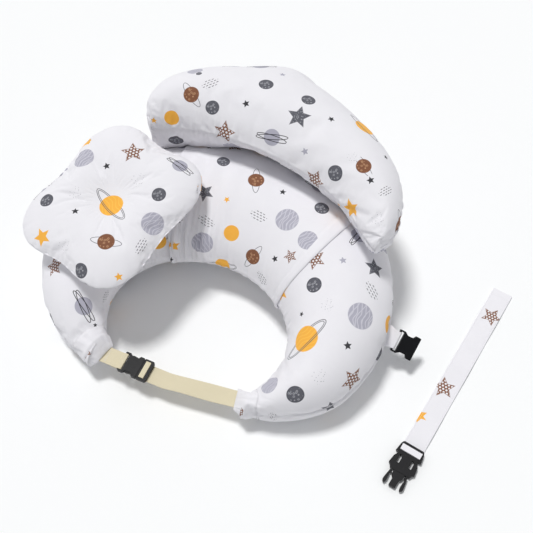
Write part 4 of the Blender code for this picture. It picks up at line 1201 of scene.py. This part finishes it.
def at_head(x, y):
    x, y = x / 100, y / 100
    angle, radius = atan2(y / HEAD_LENGTH_SHARE, x), hypot(x, y / HEAD_LENGTH_SHARE)
    local = head_surface(np.array(min(radius / head_edge(angle), 0.98)), np.array(angle), np.array(1))
    return to_world(head_place(), local)


def at_strap(x, y):
    ahead, side = strap_frame()
    return STRAP_END + ahead * x / 100 + side * y / 100 + np.array([0, 0, 0.004])


# ---- stage: floor, camera, light ----
def build_stage():
    size = FLOOR_HALF_SIZE
    corners = [(-size, -size, 0), (size, -size, 0), (size, size, 0), (-size, size, 0)]
    floor = make_object("floor", corners, [(0, 1, 2, 3)], FLOOR)
    floor.location.z = -0.0004

    a, e = CAMERA_AZIMUTH, CAMERA_ELEVATION
    right = Vector((cos(a), sin(a), 0))
    back = Vector((sin(a) * cos(e), -cos(a) * cos(e), sin(e)))
    up = back.cross(right)
    lens = bpy.data.cameras.new("camera")
    lens.lens = CAMERA_LENS_MM
    lens.sensor_width = 36
    camera = bpy.data.objects.new("camera", lens)
    turn = Matrix((right, up, back)).transposed().to_4x4()
    camera.matrix_world = Matrix.Translation(CAMERA_TARGET + back * CAMERA_DISTANCE) @ turn
    scene.collection.objects.link(camera)
    scene.camera = camera

    world = bpy.data.worlds.new("studio")
    world.use_nodes = True
    sky = {"Color": (0.97, 0.98, 1, 1), "Strength": SKY_STRENGTH}
    set_inputs(world.node_tree, world.node_tree.nodes["Background"], sky)
    scene.world = world

    sun = bpy.data.lights.new("key_light", "SUN")
    sun.energy, sun.angle = SUN_STRENGTH, SUN_SPREAD
    sun.color = (1, 0.995, 0.985)
    key = bpy.data.objects.new("key_light", sun)
    key.rotation_euler = Vector(SUN_FROM).to_track_quat("Z", "Y").to_euler()
    scene.collection.objects.link(key)
    scene.view_settings.view_transform = "Standard"


# ---- everything is made here, in an order that never changes ----
build_stage()
surface = inflated_pillow()
main_pillow = build_pillow(surface)
sleeve, sleeve_band = build_sleeve(surface)
pillow_tree, sleeve_tree = tree_of(main_pillow), tree_of(sleeve)
bolster = build_bolster([pillow_tree, sleeve_tree])
head_cushion = build_head_pillow()
bolster_tree, head_tree = tree_of(bolster), tree_of(head_cushion)
FRONT_TREES = [pillow_tree, sleeve_tree, bolster_tree, head_tree]
build_belt()
left_cuff = build_cuff(surface, -1, "left_cuff", "left_tip_cuff")
right_cuff = build_cuff(surface, 1, "right_cuff", "right_tip_cuff")
strap = build_strap()
side_tab = build_side_tab()
dress_hardware()
build_zip_teeth()

# ---- the print on each piece ----
band_faces = np.zeros(len(sleeve.data.polygons), bool)
band_faces[: sleeve_band[:-1].size] = sleeve_band[:-1].ravel()
print_on(main_pillow, marks_at(pillow_tree, at_section, PILLOW_PRINT), seed=5)
print_on(sleeve, marks_at(sleeve_tree, at_section, SLEEVE_PRINT), seed=9, plain=band_faces)
print_on(bolster, marks_at(bolster_tree, at_bolster, BOLSTER_PRINT), seed=14)
print_on(head_cushion, marks_at(head_tree, at_head, HEAD_PRINT), seed=21)
print_on(strap, marks_at(tree_of(strap), at_strap, STRAP_PRINT))
print_on(left_cuff, marks_at(pillow_tree, at_section, LEFT_TIP_PRINT))
print_on(right_cuff, marks_at(pillow_tree, at_section, RIGHT_TIP_PRINT))
print_on(side_tab)
